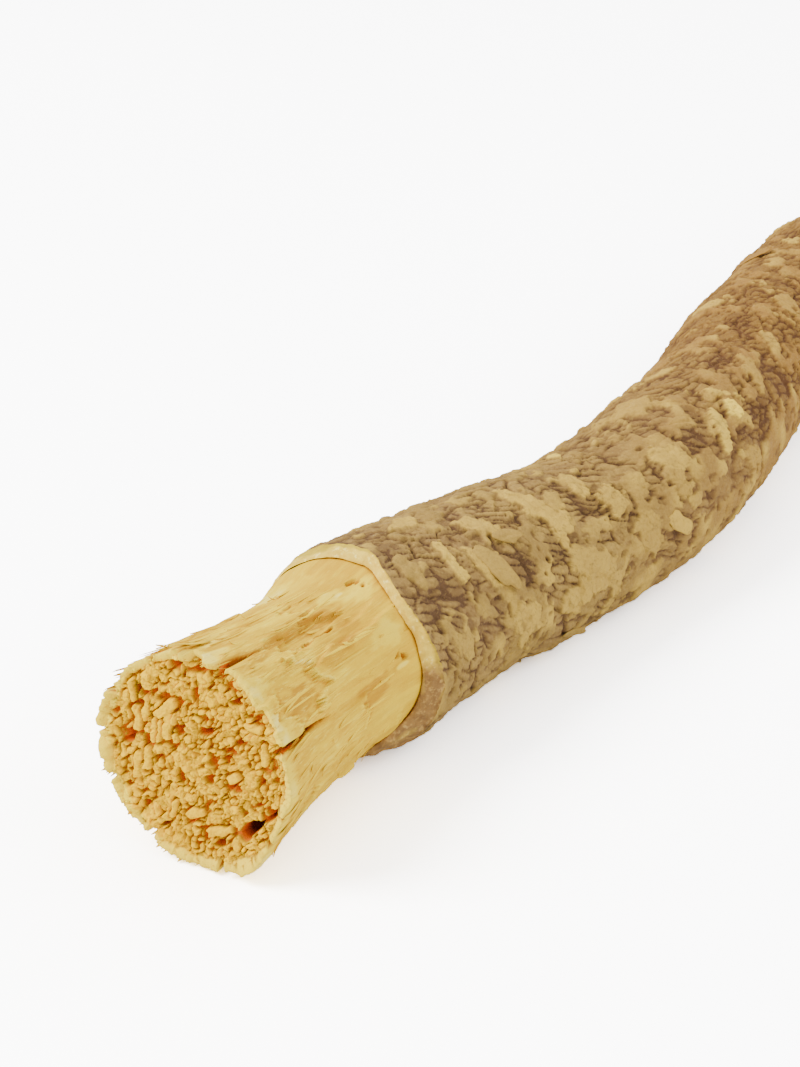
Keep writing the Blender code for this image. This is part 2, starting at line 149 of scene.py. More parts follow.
# The brush
BRUSH_RADIUS = 5.8
WAIST_RADIUS = 4.8
FLARE_LENGTH = 9.0
RIM_CLEARANCE = 0.15
FACE_RADIUS = 5.5
FACE_GRID = 250
RING_STEP, RING_JITTER = 0.36, 0.12
BUNDLE_WIDTH = (0.27, 0.03)  # round its ring, at the centre and more for each mm from it
BUNDLE_SHARE = 0.8  # of the bundles that would fit round a ring
LONG_ON_LEFT = 1.3  # how much further apart they are on the left
BUNDLE_RISE, BUNDLE_SLOPE = 0.1, 0.3
FINE_FIBRE = 0.19
PITS = (  # (left, up, half-width, half-length, turn of its length from left towards up, depth) on the face
    (3.8, 1.57, 0.22, 0.6, 90, 0.9),
    (4.09, 0.22, 0.24, 0.6, 125, 1.0),
    (2.82, 0.25, 0.2, 0.55, 100, 0.8),
    (0.88, 1.41, 0.28, 0.36, 0, 1.0),
    (-0.25, 3.56, 0.24, 0.34, 90, 1.0),
    (-0.71, 1.7, 0.2, 0.42, 155, 0.9),
    (0.79, -1.03, 0.26, 0.45, 90, 1.0),
    (-2.32, 1.09, 0.22, 0.3, 0, 0.8),
    (-1.96, 0.45, 0.18, 0.24, 0, 0.7),
    (-1.12, 0.31, 0.2, 0.38, 90, 0.6),
    (-2.5, -0.75, 0.22, 0.38, 155, 0.9),
    (-0.99, -0.72, 0.22, 0.3, 0, 0.8),
    (-3.69, 3.24, 0.18, 0.28, 150, 0.5),
    (2.97, -3.37, 0.16, 0.26, 90, 0.8),
    (4.1, -2.52, 0.15, 0.28, 120, 0.6),
    (0.08, -3.43, 0.16, 0.42, 150, 0.7),
    (-3.39, -2.83, 0.34, 0.85, 130, 2.0),
    (-4.69, -1.6, 0.2, 0.75, 140, 1.1),
    (-0.65, -3.98, 0.28, 0.36, 90, 1.2),
    (-1.63, -4.12, 0.24, 0.36, 140, 1.0),
    (1.91, -4.11, 0.17, 0.36, 140, 0.8),
    (-0.62, 5.05, 0.22, 0.9, 165, 1.0),
    (-2.69, 3.86, 0.15, 0.38, 170, 0.8),
    (-1.63, 4.85, 0.14, 0.3, 0, 0.7),
    (3.35, 2.1, 0.1, 0.3, 90, 0.6),
    (3.39, 2.89, 0.12, 0.3, 120, 0.6),
    (2.39, 3.0, 0.13, 0.3, 140, 0.7),
    (1.59, 2.89, 0.15, 0.42, 150, 0.7),
    (1.0, 4.9, 0.26, 0.3, 0, 0.8),
    (1.65, 3.68, 0.1, 0.3, 160, 0.6),
    (-4.05, -0.2, 0.12, 0.5, 95, 0.7),
)
RODS = (  # (left, up, half-width, half-length, turn) of the longest bundles, which lie along the face
    (3.43, 1.37, 0.24, 0.75, 91),
    (2.88, 1.96, 0.18, 0.7, 94),
    (2.0, 1.04, 0.18, 0.61, 91),
    (1.49, 1.45, 0.24, 0.77, 91),
    (2.4, 0.98, 0.15, 0.67, 94),
    (3.46, -1.21, 0.21, 0.69, 94),
    (2.84, -0.75, 0.2, 0.64, 91),
    (1.63, 2.34, 0.25, 0.86, 139),
    (3.73, 2.84, 0.18, 0.61, 94),
    (1.06, 1.95, 0.16, 0.36, 100),
    (-2.44, -0.3, 0.24, 0.5, 139),
    (-3.6, 2.75, 0.2, 0.5, 3),
    (-4.3, 1.52, 0.19, 0.53, 90),
    (-1.6, -3.45, 0.24, 0.85, 166),
    (-0.17, -2.87, 0.22, 0.61, 155),
    (1.2, -3.05, 0.2, 0.56, 104),
)
MORE_PITS = 80

# The peeled side and the rim
WOOD_COLUMNS = 600
SIDE_ROWS, LIP_ROWS, INNER_ROWS = 150, 4, 9
WOOD_START = 16.6  # the modelled side begins this far inside the bark
BEAD_GAP, BEAD_REACH, BEAD_SPREAD = 0.06, 0.8, 2.0  # how the wood swells to fill the bark's mouth
STAVES = 19
STAVE_RISE = (-0.1, 0.16)
FACE_LEAN = (0.22, 0.3, 250)  # the face's mean reach, how much further it leans out at the rim, and where
RIM_DENT = (56, 17, 0.3, 5)  # where the rim is flatter: its angle, half-width in degrees, depth and length
OPEN_RIM = 1.3  # how far a split draws the rim back, for each mm of its depth
RIM_SPLINTERS, SPLINTER_STATIONS = 130, 8
SIDE_FIBRES, FIBRE_STATIONS = 240, 10
TEETH = (  # (angle, width in degrees, reach) of the longest splinters
    (6, 3.5, 0.42),
    (24, 6.0, 0.3),
    (86, 5.0, 0.4),
    (101, 5.0, 0.35),
    (236, 6.0, 0.75),
    (288, 5.0, 0.62),
    (341, 4.0, 0.55),
    (350, 7.0, 0.58),
)
SLIVERS = (  # (angle, where it leaves the side, reach, how far it lifts, width)
    (84, 2.2, 1.15, 0.9, 0.4),
    (80, 1.6, 0.5, 0.35, 0.25),
    (38, 1.4, 0.35, 0.1, 0.25),
)
SPLITS = (  # (angle at the rim, degrees it drifts, length, depth, width at the rim)
    (2, 0, 1.3, 0.5, 0.22),
    (26, -3, 6.0, 0.5, 0.25),
    (62, 4, 5.0, 0.6, 0.3),
    (84, 2, 2.2, 0.4, 0.25),
    (107, 1, 3.4, 0.8, 0.45),
    (158, 5, 5.0, 0.85, 0.4),
    (196, 0, 1.5, 0.4, 0.2),
    (216, -4, 3.5, 0.6, 0.35),
    (252, 4, 5.0, 0.6, 0.3),
    (300, -5, 6.0, 0.6, 0.3),
    (336, 3, 1.5, 0.4, 0.25),
)
STRIPS = (  # (angle, half-width in degrees, start, end, lift) of layers that stand proud of the side
    (5, 13, -3.0, 9.5, 0.16),
    (42, 13, 1.0, 8.0, 0.16),
    (98, 10, -3.0, 8.0, 0.18),
    (112, 7, 5.0, 9.6, -0.26),
    (118, 8, -3.0, 4.2, 0.1),
    (128, 8, 4.5, 14.0, 0.24),
    (143, 13, 4.7, 14.0, 0.36),
    (146, 12, -3.0, 1.5, 0.14),
    (176, 12, -3.0, 8.5, 0.14),
    (206, 10, 3.0, 12.0, 0.13),
    (234, 14, -3.0, 8.0, 0.16),
    (282, 14, 1.2, 11.0, 0.16),
    (322, 12, -3.0, 7.0, 0.16),
    (340, 9, 7.5, 13.0, 0.1),
)
STAINS = (  # (along, angle, half-length, half-width in degrees, tone) of patches: 1 is pale, -1 ochre
    # The palest rows on the top, at 100 degrees near the collar and near the rim, are partly painted
    # highlight.
    (10.8, 100, 1.4, 4, 1.2),
    (11.4, 141, 1.2, 7, 1.0),
    (4.9, 128, 1.4, 4, 0.9),
    (0.6, 128, 1.2, 9, 1.0),
    (0.6, 150, 1.0, 10, 0.8),
    (0.8, 100, 1.4, 4, 1.3),
    (2.6, 86, 1.8, 3, 1.2),
    (5.4, 92, 2.4, 4, 0.9),
    (12.6, 110, 1.2, 9, 1.0),
    (12.0, 165, 0.5, 1.6, 1.2),
    (11.6, 60, 2.4, 22, 0.7),
    (9.0, 169, 1.8, 8, -1.0),
    (7.4, 109, 2.6, 7, -0.85),
    (7.2, 131, 2.2, 7, -0.6),
    (2.9, 143, 1.5, 9, -1.2),
    (9.4, 126, 2.2, 7, -0.6),
    (3.6, 112, 1.6, 4, -0.7),
)
MORE_STAINS = 26
MORE_STAIN_RANGES = ((0, COLLAR), (170, 450), (1.0, 2.8), (4, 10), (-1, 1))
NOTCHES = (  # (along, angle, half-length, half-width in degrees, depth)
    (12.85, 101, 0.3, 1.5, 0.3),
    (13.15, 104, 0.22, 1.2, 0.2),
    (13.2, 108, 0.25, 1.8, 0.25),
    (11.7, 156, 0.22, 1.6, 0.25),
    (12.3, 160, 0.22, 1.8, 0.3),
    (8.8, 88, 0.5, 1.2, 0.2),
    (7.6, 119.5, 1.1, 1.3, 0.24),
    (11.6, 230, 0.3, 1.8, 0.25),
    (13.0, 20, 0.3, 1.8, 0.25),
)

# The far end
END_GRID, END_ROWS = 150, 14
END_FIBRE = 0.33

# Noise
NOISE_ROWS, NOISE_COLUMNS = 149, 83  # how many cells it has before it repeats
NET_JITTER = 0.38
FLAT_NET_COLUMNS, FLAT_NET_SHIFT = 97, 200


def rng(name):
    """A random generator of its own for each name."""
    return np.random.default_rng(list(name.encode()))


def smoothstep(x):
    """0 below 0, 1 above 1 and an S curve between."""
    x = np.clip(x, 0.0, 1.0)
    return x * x * (3 - 2 * x)


def heading(along):
    """The centreline's direction, in radians from +X: the bends so far, added up."""
    turned = START_HEADING + sum(turn * smoothstep((along - start) / span) for start, span, turn in BENDS)
    return np.radians(turned)


def bark_radius(along):
    """The bark's mean radius: the root's own, with a bell curve for each swelling."""
    extra = sum(size * np.exp(-(((along - centre) / half) ** 2)) for centre, half, size in SWELLINGS)
    return BARK_RADIUS + extra


def axis_height(along):
    """Height of the centreline over the table: the bark lies on it, and the brush's rim nearly does."""
    lying = bark_radius(np.maximum(along, COLLAR)) - REST_DEPTH
    brush = BRUSH_RADIUS + RIM_CLEARANCE
    return np.where(along < COLLAR, brush + (lying - brush) * smoothstep(along / COLLAR), lying)


PATH_ALONG = np.arange(-PATH_MARGIN, LENGTH + PATH_MARGIN, PATH_STEP)
PATH_STEPS = np.stack([np.cos(heading(PATH_ALONG)), np.sin(heading(PATH_ALONG))]) * PATH_STEP
PATH_RUN = np.cumsum(PATH_STEPS, axis=1) - PATH_STEPS / 2


def lay(stick):
    """Lays straight-stick points (along, left, up) along the root, none below the table, in metres."""
    along, left, up = np.moveaxis(np.asarray(stick, float), -1, 0)
    origin = [np.interp(0.0, PATH_ALONG, run) for run in PATH_RUN]
    x, y = (np.interp(along, PATH_ALONG, run) - o + s for run, o, s in zip(PATH_RUN, origin, START))
    turned = heading(along)
    z = np.maximum(axis_height(along) + up, 0.0)
    placed = np.stack([x - left * np.sin(turned), y + left * np.cos(turned), z], axis=-1)
    return placed * METRES_PER_MM


def round_stick(along, angle, radius):
    """(along, left, up) of points at an angle and a distance from the axis."""
    return np.stack(np.broadcast_arrays(along, radius * np.cos(angle), radius * np.sin(angle)), axis=-1)


def turned_from(angle, degrees):
    """The angle between two directions round the stick, from minus to plus half a turn."""
    return (angle - math.radians(degrees) + math.pi) % TURN - math.pi


def oval(along, angle, centre, degrees, length, half):
    """How far out a point is on an oval patch, from 0 at its middle to 1 at its half-length or half-width."""
    return np.hypot((along - centre) / length, turned_from(angle, degrees) / math.radians(half))


def measured(x, y, degrees):
    """x and y measured along and across a line that is turned by some degrees."""
    c, s = math.cos(math.radians(degrees)), math.sin(math.radians(degrees))
    return x * c + y * s, y * c - x * s


def noise(name, u, v, columns=NOISE_COLUMNS):
    """Smooth noise from -1 to 1: random values at whole u and v, blended between."""
    lattice = rng(name).uniform(-1, 1, (NOISE_ROWS, columns))
    row, column = np.floor(u).astype(int), np.floor(v).astype(int)
    fu, fv = smoothstep(u - row), smoothstep(v - column)
    row, after = row % NOISE_ROWS, (row + 1) % NOISE_ROWS
    column, beside = column % columns, (column + 1) % columns
    near = lattice[row, column] * (1 - fv) + lattice[row, beside] * fv
    far = lattice[after, column] * (1 - fv) + lattice[after, beside] * fv
    return near * (1 - fu) + far * fu


def stick_noise(name, along, angle, length, cells):
    """Noise on the stick's surface, a given length along and with a whole number of cells round it."""
    return noise(name, along / length, angle / TURN * cells, cells)


def layered(name, along, angle, length, cells):
    """Noise on the stick's surface at three sizes, each half the one before and weaker."""
    sizes = ((1, 0.6), (2, 0.33), (4, 0.2))
    return sum(share * stick_noise(f"{name} {k}", along, angle, length / k, cells * k) for k, share in sizes)


def cut_noise(name, share, angle, across, cells):
    """Noise at three sizes on a cut face, whose share goes from 0 at its edge to 1 at the bore."""
    return layered(name, share * across + 0 * angle, angle + 0 * share, 1.0, cells)


def net(name, u, v, columns):
    """A net of meshes round jittered knots: the distances to the nearest two, and the mesh's own draw."""
    knots = rng(name).uniform(-NET_JITTER, NET_JITTER, (NOISE_ROWS, columns, 2)) + 0.5
    draws = rng(name + " draws").uniform(0, 1, (NOISE_ROWS, columns))
    row, column = np.floor(u).astype(int), np.floor(v).astype(int)
    nearest = second = np.full(np.shape(u), np.inf)
    own = np.zeros(np.shape(u))
    for du in (-1, 0, 1):
        for dv in (-1, 0, 1):
            r, c = (row + du) % len(knots), (column + dv) % columns
            shift = knots[r, c]
            distance = np.hypot(row + du + shift[..., 0] - u, column + dv + shift[..., 1] - v)
            own = np.where(distance < nearest, draws[r, c], own)
            second = np.minimum(second, np.maximum(distance, nearest))
            nearest = np.minimum(nearest, distance)
    return nearest, second, own


def flat_net(name, left, up, size):
    """A net over a flat face: how far a point is inside its mesh, and the mesh's own draw."""
    u, v = left / size + FLAT_NET_SHIFT, up / size + FLAT_NET_SHIFT
    nearest, second, own = net(name, u, v, FLAT_NET_COLUMNS)
    return second - nearest, own


def grid_faces(rows, columns, wrap, flip):
    """Corner numbers of the quads of a grid of points, closed round its columns where it wraps."""
    here = np.arange(rows * columns).reshape(rows, columns)
    beside = np.roll(here, -1, axis=1) if wrap else here[:, 1:]
    here = here if wrap else here[:, :-1]
    quads = np.stack([here[:-1], beside[:-1], beside[1:], here[1:]], axis=-1).reshape(-1, 4)
    return quads[:, ::-1] if flip else quads


def piece(name, stick, quads, finish, marks):
    """A mesh from straight-stick points and quads, with a value for each point under each mark's name.

    Its stick attribute holds the straight-stick point, so that patterns follow the root's bends.
    """
    stick = stick.reshape(-1, 3)
    mesh = bpy.data.meshes.new(name)
    mesh.vertices.add(len(stick))
    mesh.vertices.foreach_set("co", lay(stick).astype(np.float32).ravel())
    mesh.loops.add(quads.size)
    mesh.loops.foreach_set("vertex_index", quads.astype(np.int32).ravel())
    mesh.polygons.add(len(quads))
    mesh.polygons.foreach_set("loop_start", np.arange(0, quads.size, 4, dtype=np.int32))
    mesh.polygons.foreach_set("use_smooth", np.ones(len(quads), bool))
    where = mesh.attributes.new("stick", "FLOAT_VECTOR", "POINT")
    where.data.foreach_set("vector", stick.astype(np.float32).ravel())
    for mark, values in marks.items():
        layer = mesh.attributes.new(mark, "FLOAT", "POINT")
        layer.data.foreach_set("value", np.broadcast_to(values, stick.shape[0]).astype(np.float32).ravel())
    mesh.update(calc_edges=True)
    mesh.validate()
    mesh.materials.append(finish)
    made = bpy.data.objects.new(name, mesh)
    bpy.context.scene.collection.objects.link(made)
    return made


def grid_piece(name, stick, finish, marks, wrap=True, flip=False):
    """A piece from a grid of straight-stick points."""
    rows, columns = stick.shape[:2]
    flat = {mark: np.broadcast_to(values, (rows, columns)).reshape(-1) for mark, values in marks.items()}
    return piece(name, stick, grid_faces(rows, columns, wrap, flip), finish, flat)


# Bark


def scattered(name, listed, count, clear, stretch, lengths, widths, turns, levels):
    """The listed rows, and more of them by a rule on the part of the bark that the lists don't cover."""
    draw = rng(name)
    rows = list(listed)
    first, last, low, high = PLATED
    while len(rows) < len(listed) + count:
        along, angle = draw.uniform(*stretch), draw.uniform(0, 360)
        size = draw.uniform(*lengths), draw.uniform(*widths), draw.normal(*turns), draw.uniform(*levels)
        if not (first < along < last and low - clear < angle < high):
            rows.append((along, angle, *size))
    return rows


def plate_relief(along, angle):
    """The big plates: where they cover the bark, and their tints.

    A plate is an oval turned on the bark, its outline pushed about by noise and broken by chips.
    """
    ragged = 0.75 * layered("plate outline", along, angle, 1.3, 27)
    ragged = ragged + 0.55 * (net("plate chips", along / 0.9, angle / TURN * 40, 40)[2] - 0.4)
    cover, tint = np.zeros(along.shape), np.zeros(along.shape)
    for centre, degrees, length, width, turn, shade in scattered("more plates", PLATES, *MORE_PLATES):
        across = turned_from(angle, degrees) * BARK_RADIUS
        forward, aside = measured(along - centre, across, turn)
        size = 2 / PLATE_SIZE * np.hypot(forward / length, aside / width) + ragged
        own = smoothstep((1 - size) / PLATE_EDGE + 0.5)
        tint = np.where(own > cover, shade, tint)
        cover = np.maximum(cover, own)
    return cover, tint


def crowding(along, angle):
    """How much of the bark the crust covers, from 0 to 1: most low on the front, less on top and behind."""
    low_front = smoothstep(1 - np.abs(turned_from(angle, 195)) / math.radians(80))
    low_front = low_front * (0.25 + 0.75 * smoothstep((along - 17) / 9))
    patches = 0.5 + 0.5 * stick_noise("patches", along, angle, 9.0, 5)
    return 0.06 + 0.66 * low_front + 0.4 * patches * (1 - low_front)


def creases(along, angle):
    """The grooves between wrinkles: how deep they are, how dark, and each wrinkle's own draw.

    Each net's meshes are drawn out along a slanting line. Noise bends them and makes their grooves wider,
    narrower and fainter from place to place.
    """
    turn = angle / TURN - along * WRINKLE_SLANT / (TURN * BARK_RADIUS)
    wander = 0.8 * stick_noise("wander", along, angle, 3.5, 12)
    wander = wander + 0.45 * layered("bend", along, angle, 1.2, 36)
    deep, dark = np.zeros(along.shape), np.zeros(along.shape)
    draws = []
    for length, cells, width, depth in CREASES:
        pull = wander * cells / CREASES[0][1]
        name = f"creases {cells}"
        nearest, second, draw = net(name, along / length + 0.35 * pull, turn * cells + pull, cells)
        wide = width * (0.45 + 1.5 * np.clip(0.5 + layered(name, along, angle, 2.6, 15), 0, 1))
        strength = smoothstep(0.95 + 1.3 * layered(name + " strength", along, angle, 2.2, 18))
        groove_and_shade = np.clip(1 - (second - nearest) / wide, 0, 1) ** 1.3 * strength
        deep = deep + depth * groove_and_shade
        # Deeper nets are painted darker: painted shade in the grooves, over their own darker colour.
        dark = np.maximum(dark, groove_and_shade * min(1, depth / 0.13))
        draws.append(draw)
    return deep, dark, draws[0]


def bark_surface(along, angle):
    """The bark's height over its mean radius and its marks.

    Creases cut the bark into wrinkles. A crust of scabs lies where noise is over a level that falls with the
    crowding, with small holes left in it, and the plates lie over all of it.
    """
    deep, dark, own = creases(along, angle)
    height = 0.06 * own - deep + 0.05 * layered("rough", along, angle, 0.6, 56)
    grain = layered("crust", along, angle, 1.4, 25)
    crust = smoothstep((grain - 0.36 + 0.72 * crowding(along, angle)) / CRUST_EDGE)
    hole = smoothstep((stick_noise("holes", along, angle, 0.6, 57) - 0.45) / 0.3)
    bare = np.zeros(along.shape)
    for shade in SHADES:
        off = oval(along, angle, *shade) + 0.8 * grain
        bare = np.maximum(bare, smoothstep((1.2 - off) / 0.5))
    crust = crust * (1 - hole) * (1 - bare)
    knobs = layered("knobs", along, angle, 0.7, 48)
    height = height * (1 - 0.6 * crust) + (CRUST_LIFT * (0.7 + grain) + 0.06 * knobs) * crust - 0.06 * hole
    big, big_tint = plate_relief(along, angle)
    top = PLATE_LIFT * (0.5 + 0.6 * big_tint) + 0.11 * layered("plate top", along, angle, 1.0, 34)
    height = height * (1 - 0.6 * big) + top * big
    over = np.maximum(crust, big)
    # A band along the edges of the crust and plates, painted dark there as their contact shadow.
    edge = np.maximum(crust * (1 - crust), big * (1 - big)) * 4
    crust_tint = np.clip(0.3 + 0.75 * stick_noise("tint", along, angle, 1.4, 25), 0, 1)
    tint = np.where(big > 0.5, big_tint, crust_tint)
    height = height + 0.16 * stick_noise("lumps", along, angle, 5.0, 8)
    height = height + 0.022 * stick_noise("crumb", along, angle, 0.32, 108)
    height = height * (0.3 + 0.7 * smoothstep((along - collar_edge(angle)) / 1.2))
    # Own dark of creases and bare patches, with painted shade in deep creases, holes and at crust and plate
    # edges.
    groove_and_shade = np.maximum(np.clip(dark * (1 + 0.6 * bare), 0, 1) * (1 - 0.75 * over), 0.45 * edge)
    groove_and_shade = np.maximum(groove_and_shade, 0.6 * hole * (1 - big))
    groove_and_shade = np.maximum(groove_and_shade, 0.45 * bare * (1 - big))
    return height, {"groove_and_shade": groove_and_shade, "plate": over, "tint": tint, "own": own}


def collar_value(angle, column):
    """A column of the collar's list between its rows, smoothed a little by taking three angles."""
    angles, values = [row[0] for row in COLLAR_CUT], [row[column] for row in COLLAR_CUT]
    degrees = np.degrees(angle)
    return sum(np.interp(degrees + aside, angles, values, period=360) for aside in (-4, 0, 4)) / 3


def collar_edge(angle):
    """Where the bark's outer edge is at the collar: the list's line, with nicks, larger low on the front."""
    nicks = 0.09 + 0.14 * smoothstep(1.3 - np.abs(turned_from(angle, 225)) / math.radians(75))
    return collar_value(angle, 1) + nicks * layered("collar edge", 0 * angle, angle, 1.0, 31)


def far_cut(angle, radius):
    """Where the far cut meets a given radius: one leaning plane through the bark and the wood."""
    lean, degrees = END_SLANT
    return LENGTH + lean * radius * np.cos(turned_from(angle, degrees))


def ring_angles(count):
    return np.arange(count) * TURN / count


def bark(finish):
    """The bark's outside, in stretches that share their end rows: radius = mean radius + height."""
    angle = ring_angles(BARK_COLUMNS)[None]
    made = []
    for number, (start, end, rows) in enumerate(BARK_STRETCHES, 1):
        first = collar_edge(angle) if number == 1 else np.full(angle.shape, start)
        last = far_cut(angle, bark_radius(LENGTH)) if end == LENGTH else np.full(angle.shape, end)
        along = first + (last - first) * np.linspace(0, 1, rows)[:, None]
        height, marks = bark_surface(along, angle + 0 * along)
        stick = round_stick(along, angle, bark_radius(along) + height)
        made.append(grid_piece(f"bark_{number}", stick, finish, marks))
    return made


def collar_cut(finish):
    """The knife cut round the collar, from the bark's outer edge in to the mouth of the bore, and down it.

    Across the cut, place and radius go evenly from the outer edge to the lip. Noise at three sizes chips it,
    most where the cut is long.
    """
    angle = ring_angles(COLLAR_COLUMNS)[None]
    share = np.linspace(0, 1, COLLAR_ROWS)[:, None]
    outer = collar_edge(angle)
    height, _ = bark_surface(outer, angle)
    outer_radius = bark_radius(outer) + height
    lip = collar_value(angle, 2) + 0.1 * layered("lip", 0 * angle, angle, 1.0, 31)
    slope = np.clip(share / 0.85, 0, 1)
    along = outer + (lip - outer) * smoothstep(slope) + 2.2 * smoothstep((share - 0.85) / 0.15)
    radius = outer_radius + (collar_value(angle, 3) - outer_radius) * slope**1.4
    chip = cut_noise("chips", slope, angle, 2.4, 37) * np.sin(math.pi * slope) ** 0.7
    radius = radius + (0.06 + 0.05 * (outer - lip)) * chip
    along = along + 0.12 * cut_noise("chips 2", slope, angle, 3, 53) * slope * (1 - slope) * 4
    waver = 0.35 * cut_noise("ridge waver", slope, angle, 2, 17)
    top = smoothstep(1 - np.abs(turned_from(angle, 55)) / math.radians(50))
    ridge = smoothstep((slope - 0.05 - 0.4 * top + waver) / 0.2)
    # Brown on the cut's lower half: partly stain, partly painted shade where the cut faces down.
    stain = smoothstep((80 - np.degrees(np.abs(turned_from(angle, 238)))) / 20)
    stain = stain + 0.5 * cut_noise("stain", slope, angle, 2, 23)
    # inside marks the cut down in the bore, painted dark orange there as shade.
    marks = {"stain": stain, "inside": smoothstep((share - 0.82) / 0.08) + 0 * angle, "ridge": ridge}
    return grid_piece("collar_cut", round_stick(along, angle, radius), finish, marks, flip=True)


# Wood


def wood_radius(along):
    """The peeled side's mean radius: a waist at the collar that flares to the brush."""
    flare = (BRUSH_RADIUS - WAIST_RADIUS) * np.clip(1 - along / FLARE_LENGTH, 0, 1) ** 2
    return WAIST_RADIUS + flare


def fibre_steps(name, angle, cells):
    """One random value for each narrow fibre round the stick, with no blending: torn ends."""
    values = rng(name).uniform(-1, 1, cells)
    return values[np.floor(angle / TURN * cells).astype(int) % cells]


def split_cuts(along, angle):
    """The splits: how deep they cut the side, and how far open they are at the rim.

    Each is a notch whose line drifts and wanders and whose width and depth shrink towards its end.
    """
    cut = np.zeros(np.broadcast(along, angle).shape)
    for number, (degrees, drift, length, depth, width) in enumerate(SPLITS):
        left = np.clip(1 - along / length, 0, 1)
        wander = 0.14 * noise(f"split {number}", along / 1.3, 0 * along)
        line = wander + math.radians(drift) * BRUSH_RADIUS * (left - 1)
        half = width * (0.2 + 0.8 * left) / 2 + 0.03
        off = np.abs(turned_from(angle, degrees) * BRUSH_RADIUS + line) / half
        cut = np.maximum(cut, depth * smoothstep(1.3 - off) * np.sqrt(left))
    return cut


def strip_layers(along, angle):
    """Raised layers of wood, torn in steps at both ends, and the notches near the collar.

    Returns their height and two marks: painted highlight on each torn end's crest, painted shadow at its
    foot.
    """
    torn = fibre_steps("torn ends", angle, 120) * 0.4 + fibre_steps("torn ends fine", angle, 300) * 0.25
    torn = torn + 0.8 * stick_noise("torn line", 0 * angle, angle, 1.0, 47)
    waver = 0.4 * stick_noise("strip sides", along, angle, 2.5, 9)
    waver = waver + 0.15 * stick_noise("strip sides 2", along, angle, 0.9, 24)
    height, crest_highlight, foot_shade = (np.zeros(np.broadcast(along, angle).shape) for _ in range(3))
    fade = smoothstep((COLLAR - 0.9 - along) / 2.5)
    for degrees, half, start, end, lift in STRIPS:
        off = np.abs(turned_from(angle, degrees)) / math.radians(half) + waver
        aside = (1 - off) * math.radians(half) * BRUSH_RADIUS
        ends = np.minimum(end - along, along - start) + torn
        height = height + lift * smoothstep(np.minimum(aside / 0.2, ends / 0.12)) * fade
        within = smoothstep(aside / 0.3) * fade * (lift > 0)
        # Painted highlight along each torn end's crest, painted shadow along its foot.
        crest_highlight = np.maximum(crest_highlight, within * np.clip(1 - np.abs(ends - 0.2) / 0.3, 0, 1))
        foot_shade = np.maximum(foot_shade, within * np.clip(1 - np.abs(ends + 0.2) / 0.35, 0, 1))
    ragged = 1.3 * layered("notch outline", along, angle, 0.4, 110)
    for *place, depth in NOTCHES:
        off = oval(along, angle, *place) + ragged
        notch = smoothstep((1.2 - off) / 0.5)
        height = height - depth * notch
        # Painted shade in the notches, on the same mark as the feet.
        foot_shade = np.maximum(foot_shade, 1.6 * notch)
    return height, crest_highlight, foot_shade


def stain_tones(along, angle):
    """The side's pale and ochre patches: soft ovals with wavering outlines, the listed ones and more."""
    draw = rng("more stains")
    more = np.stack([draw.uniform(low, high, MORE_STAINS) for low, high in MORE_STAIN_RANGES], axis=-1)
    waver = 0.4 * stick_noise("stain edge", along, angle, 1.6, 40)
    waver = waver + 0.3 * stick_noise("stain edge 2", along, angle, 1.2, 110)
    waver = waver + 0.3 * stick_noise("stain edge 3", along, angle, 0.5, 190)
    tone = 0.25 * stick_noise("tone", along, angle, 5.0, 13)
    for *place, value in (*STAINS, *more):
        off = oval(along, angle, *place) + waver
        tone = tone + value * smoothstep((1.15 - off) / 0.6)
    return np.clip(tone, -1, 1.7)


def streaks(along, angle):
    """Fibres along the peeled side, and the broad lumps under them.

    The fibres are noise stretched along the stick at four widths, one of them ridged.
    """
    broad = stick_noise("broad streaks", along, angle, 6.0, 40)
    middle = stick_noise("streaks", along, angle, 3.4, 90)
    fine = stick_noise("fine streaks", along, angle, 2.0, 210)
    hair = 1 - 2 * np.abs(stick_noise("hairs", along, angle, 3.0, 120))
    frayed = 0.22 + 0.78 * smoothstep((COLLAR - 4 - along) / 8)
    frayed = frayed * (0.6 + 0.5 * stick_noise("frayed places", along, angle, 4.0, 12))
    lumps = 0.09 * layered("torn lumps", along, angle, 2.4, 19) * smoothstep((COLLAR - 1 - along) / 2.5)
    return lumps + frayed * (0.11 * broad + 0.08 * middle + 0.03 * fine + 0.035 * hair), broad, middle


def face_reach(left, up):
    """How far the brush face reaches out along the stick at (left, up): it is a plane that leans."""
    mean, lean, degrees = FACE_LEAN
    return mean + lean * measured(left, up, degrees)[0] / BRUSH_RADIUS


def rim_tip(angle):
    """How far the rim reaches at each angle: the face's reach, staves, torn fibres and a few teeth."""
    stave = rng("staves").uniform(*STAVE_RISE, STAVES)
    which = np.floor((angle + 0.1 * np.sin(5 * angle)) / TURN * STAVES).astype(int) % STAVES
    reach = face_reach(BRUSH_RADIUS * np.cos(angle), BRUSH_RADIUS * np.sin(angle)) + stave[which]
    reach = reach + 0.06 * fibre_steps("rim", angle, 130) + 0.04 * fibre_steps("fine rim", angle, 330)
    for degrees, width, tooth in TEETH:
        off = np.abs(turned_from(angle, degrees)) / math.radians(width)
        reach = reach + (tooth - reach) * smoothstep(1.4 - 1.4 * off)
    return reach


def rim_along(angle):
    """Where the rim is along the stick at each angle: drawn back where a split opens it."""
    return OPEN_RIM * split_cuts(0 * angle, angle) - rim_tip(angle)


def rim_dent(along, angle):
    """How much flatter the brush is at one place on its rim: a bell curve, fading along the side."""
    place, half, depth, length = RIM_DENT
    bell = np.exp(-((turned_from(angle, place) / math.radians(half)) ** 2))
    return depth * bell * smoothstep(1 - along / length)


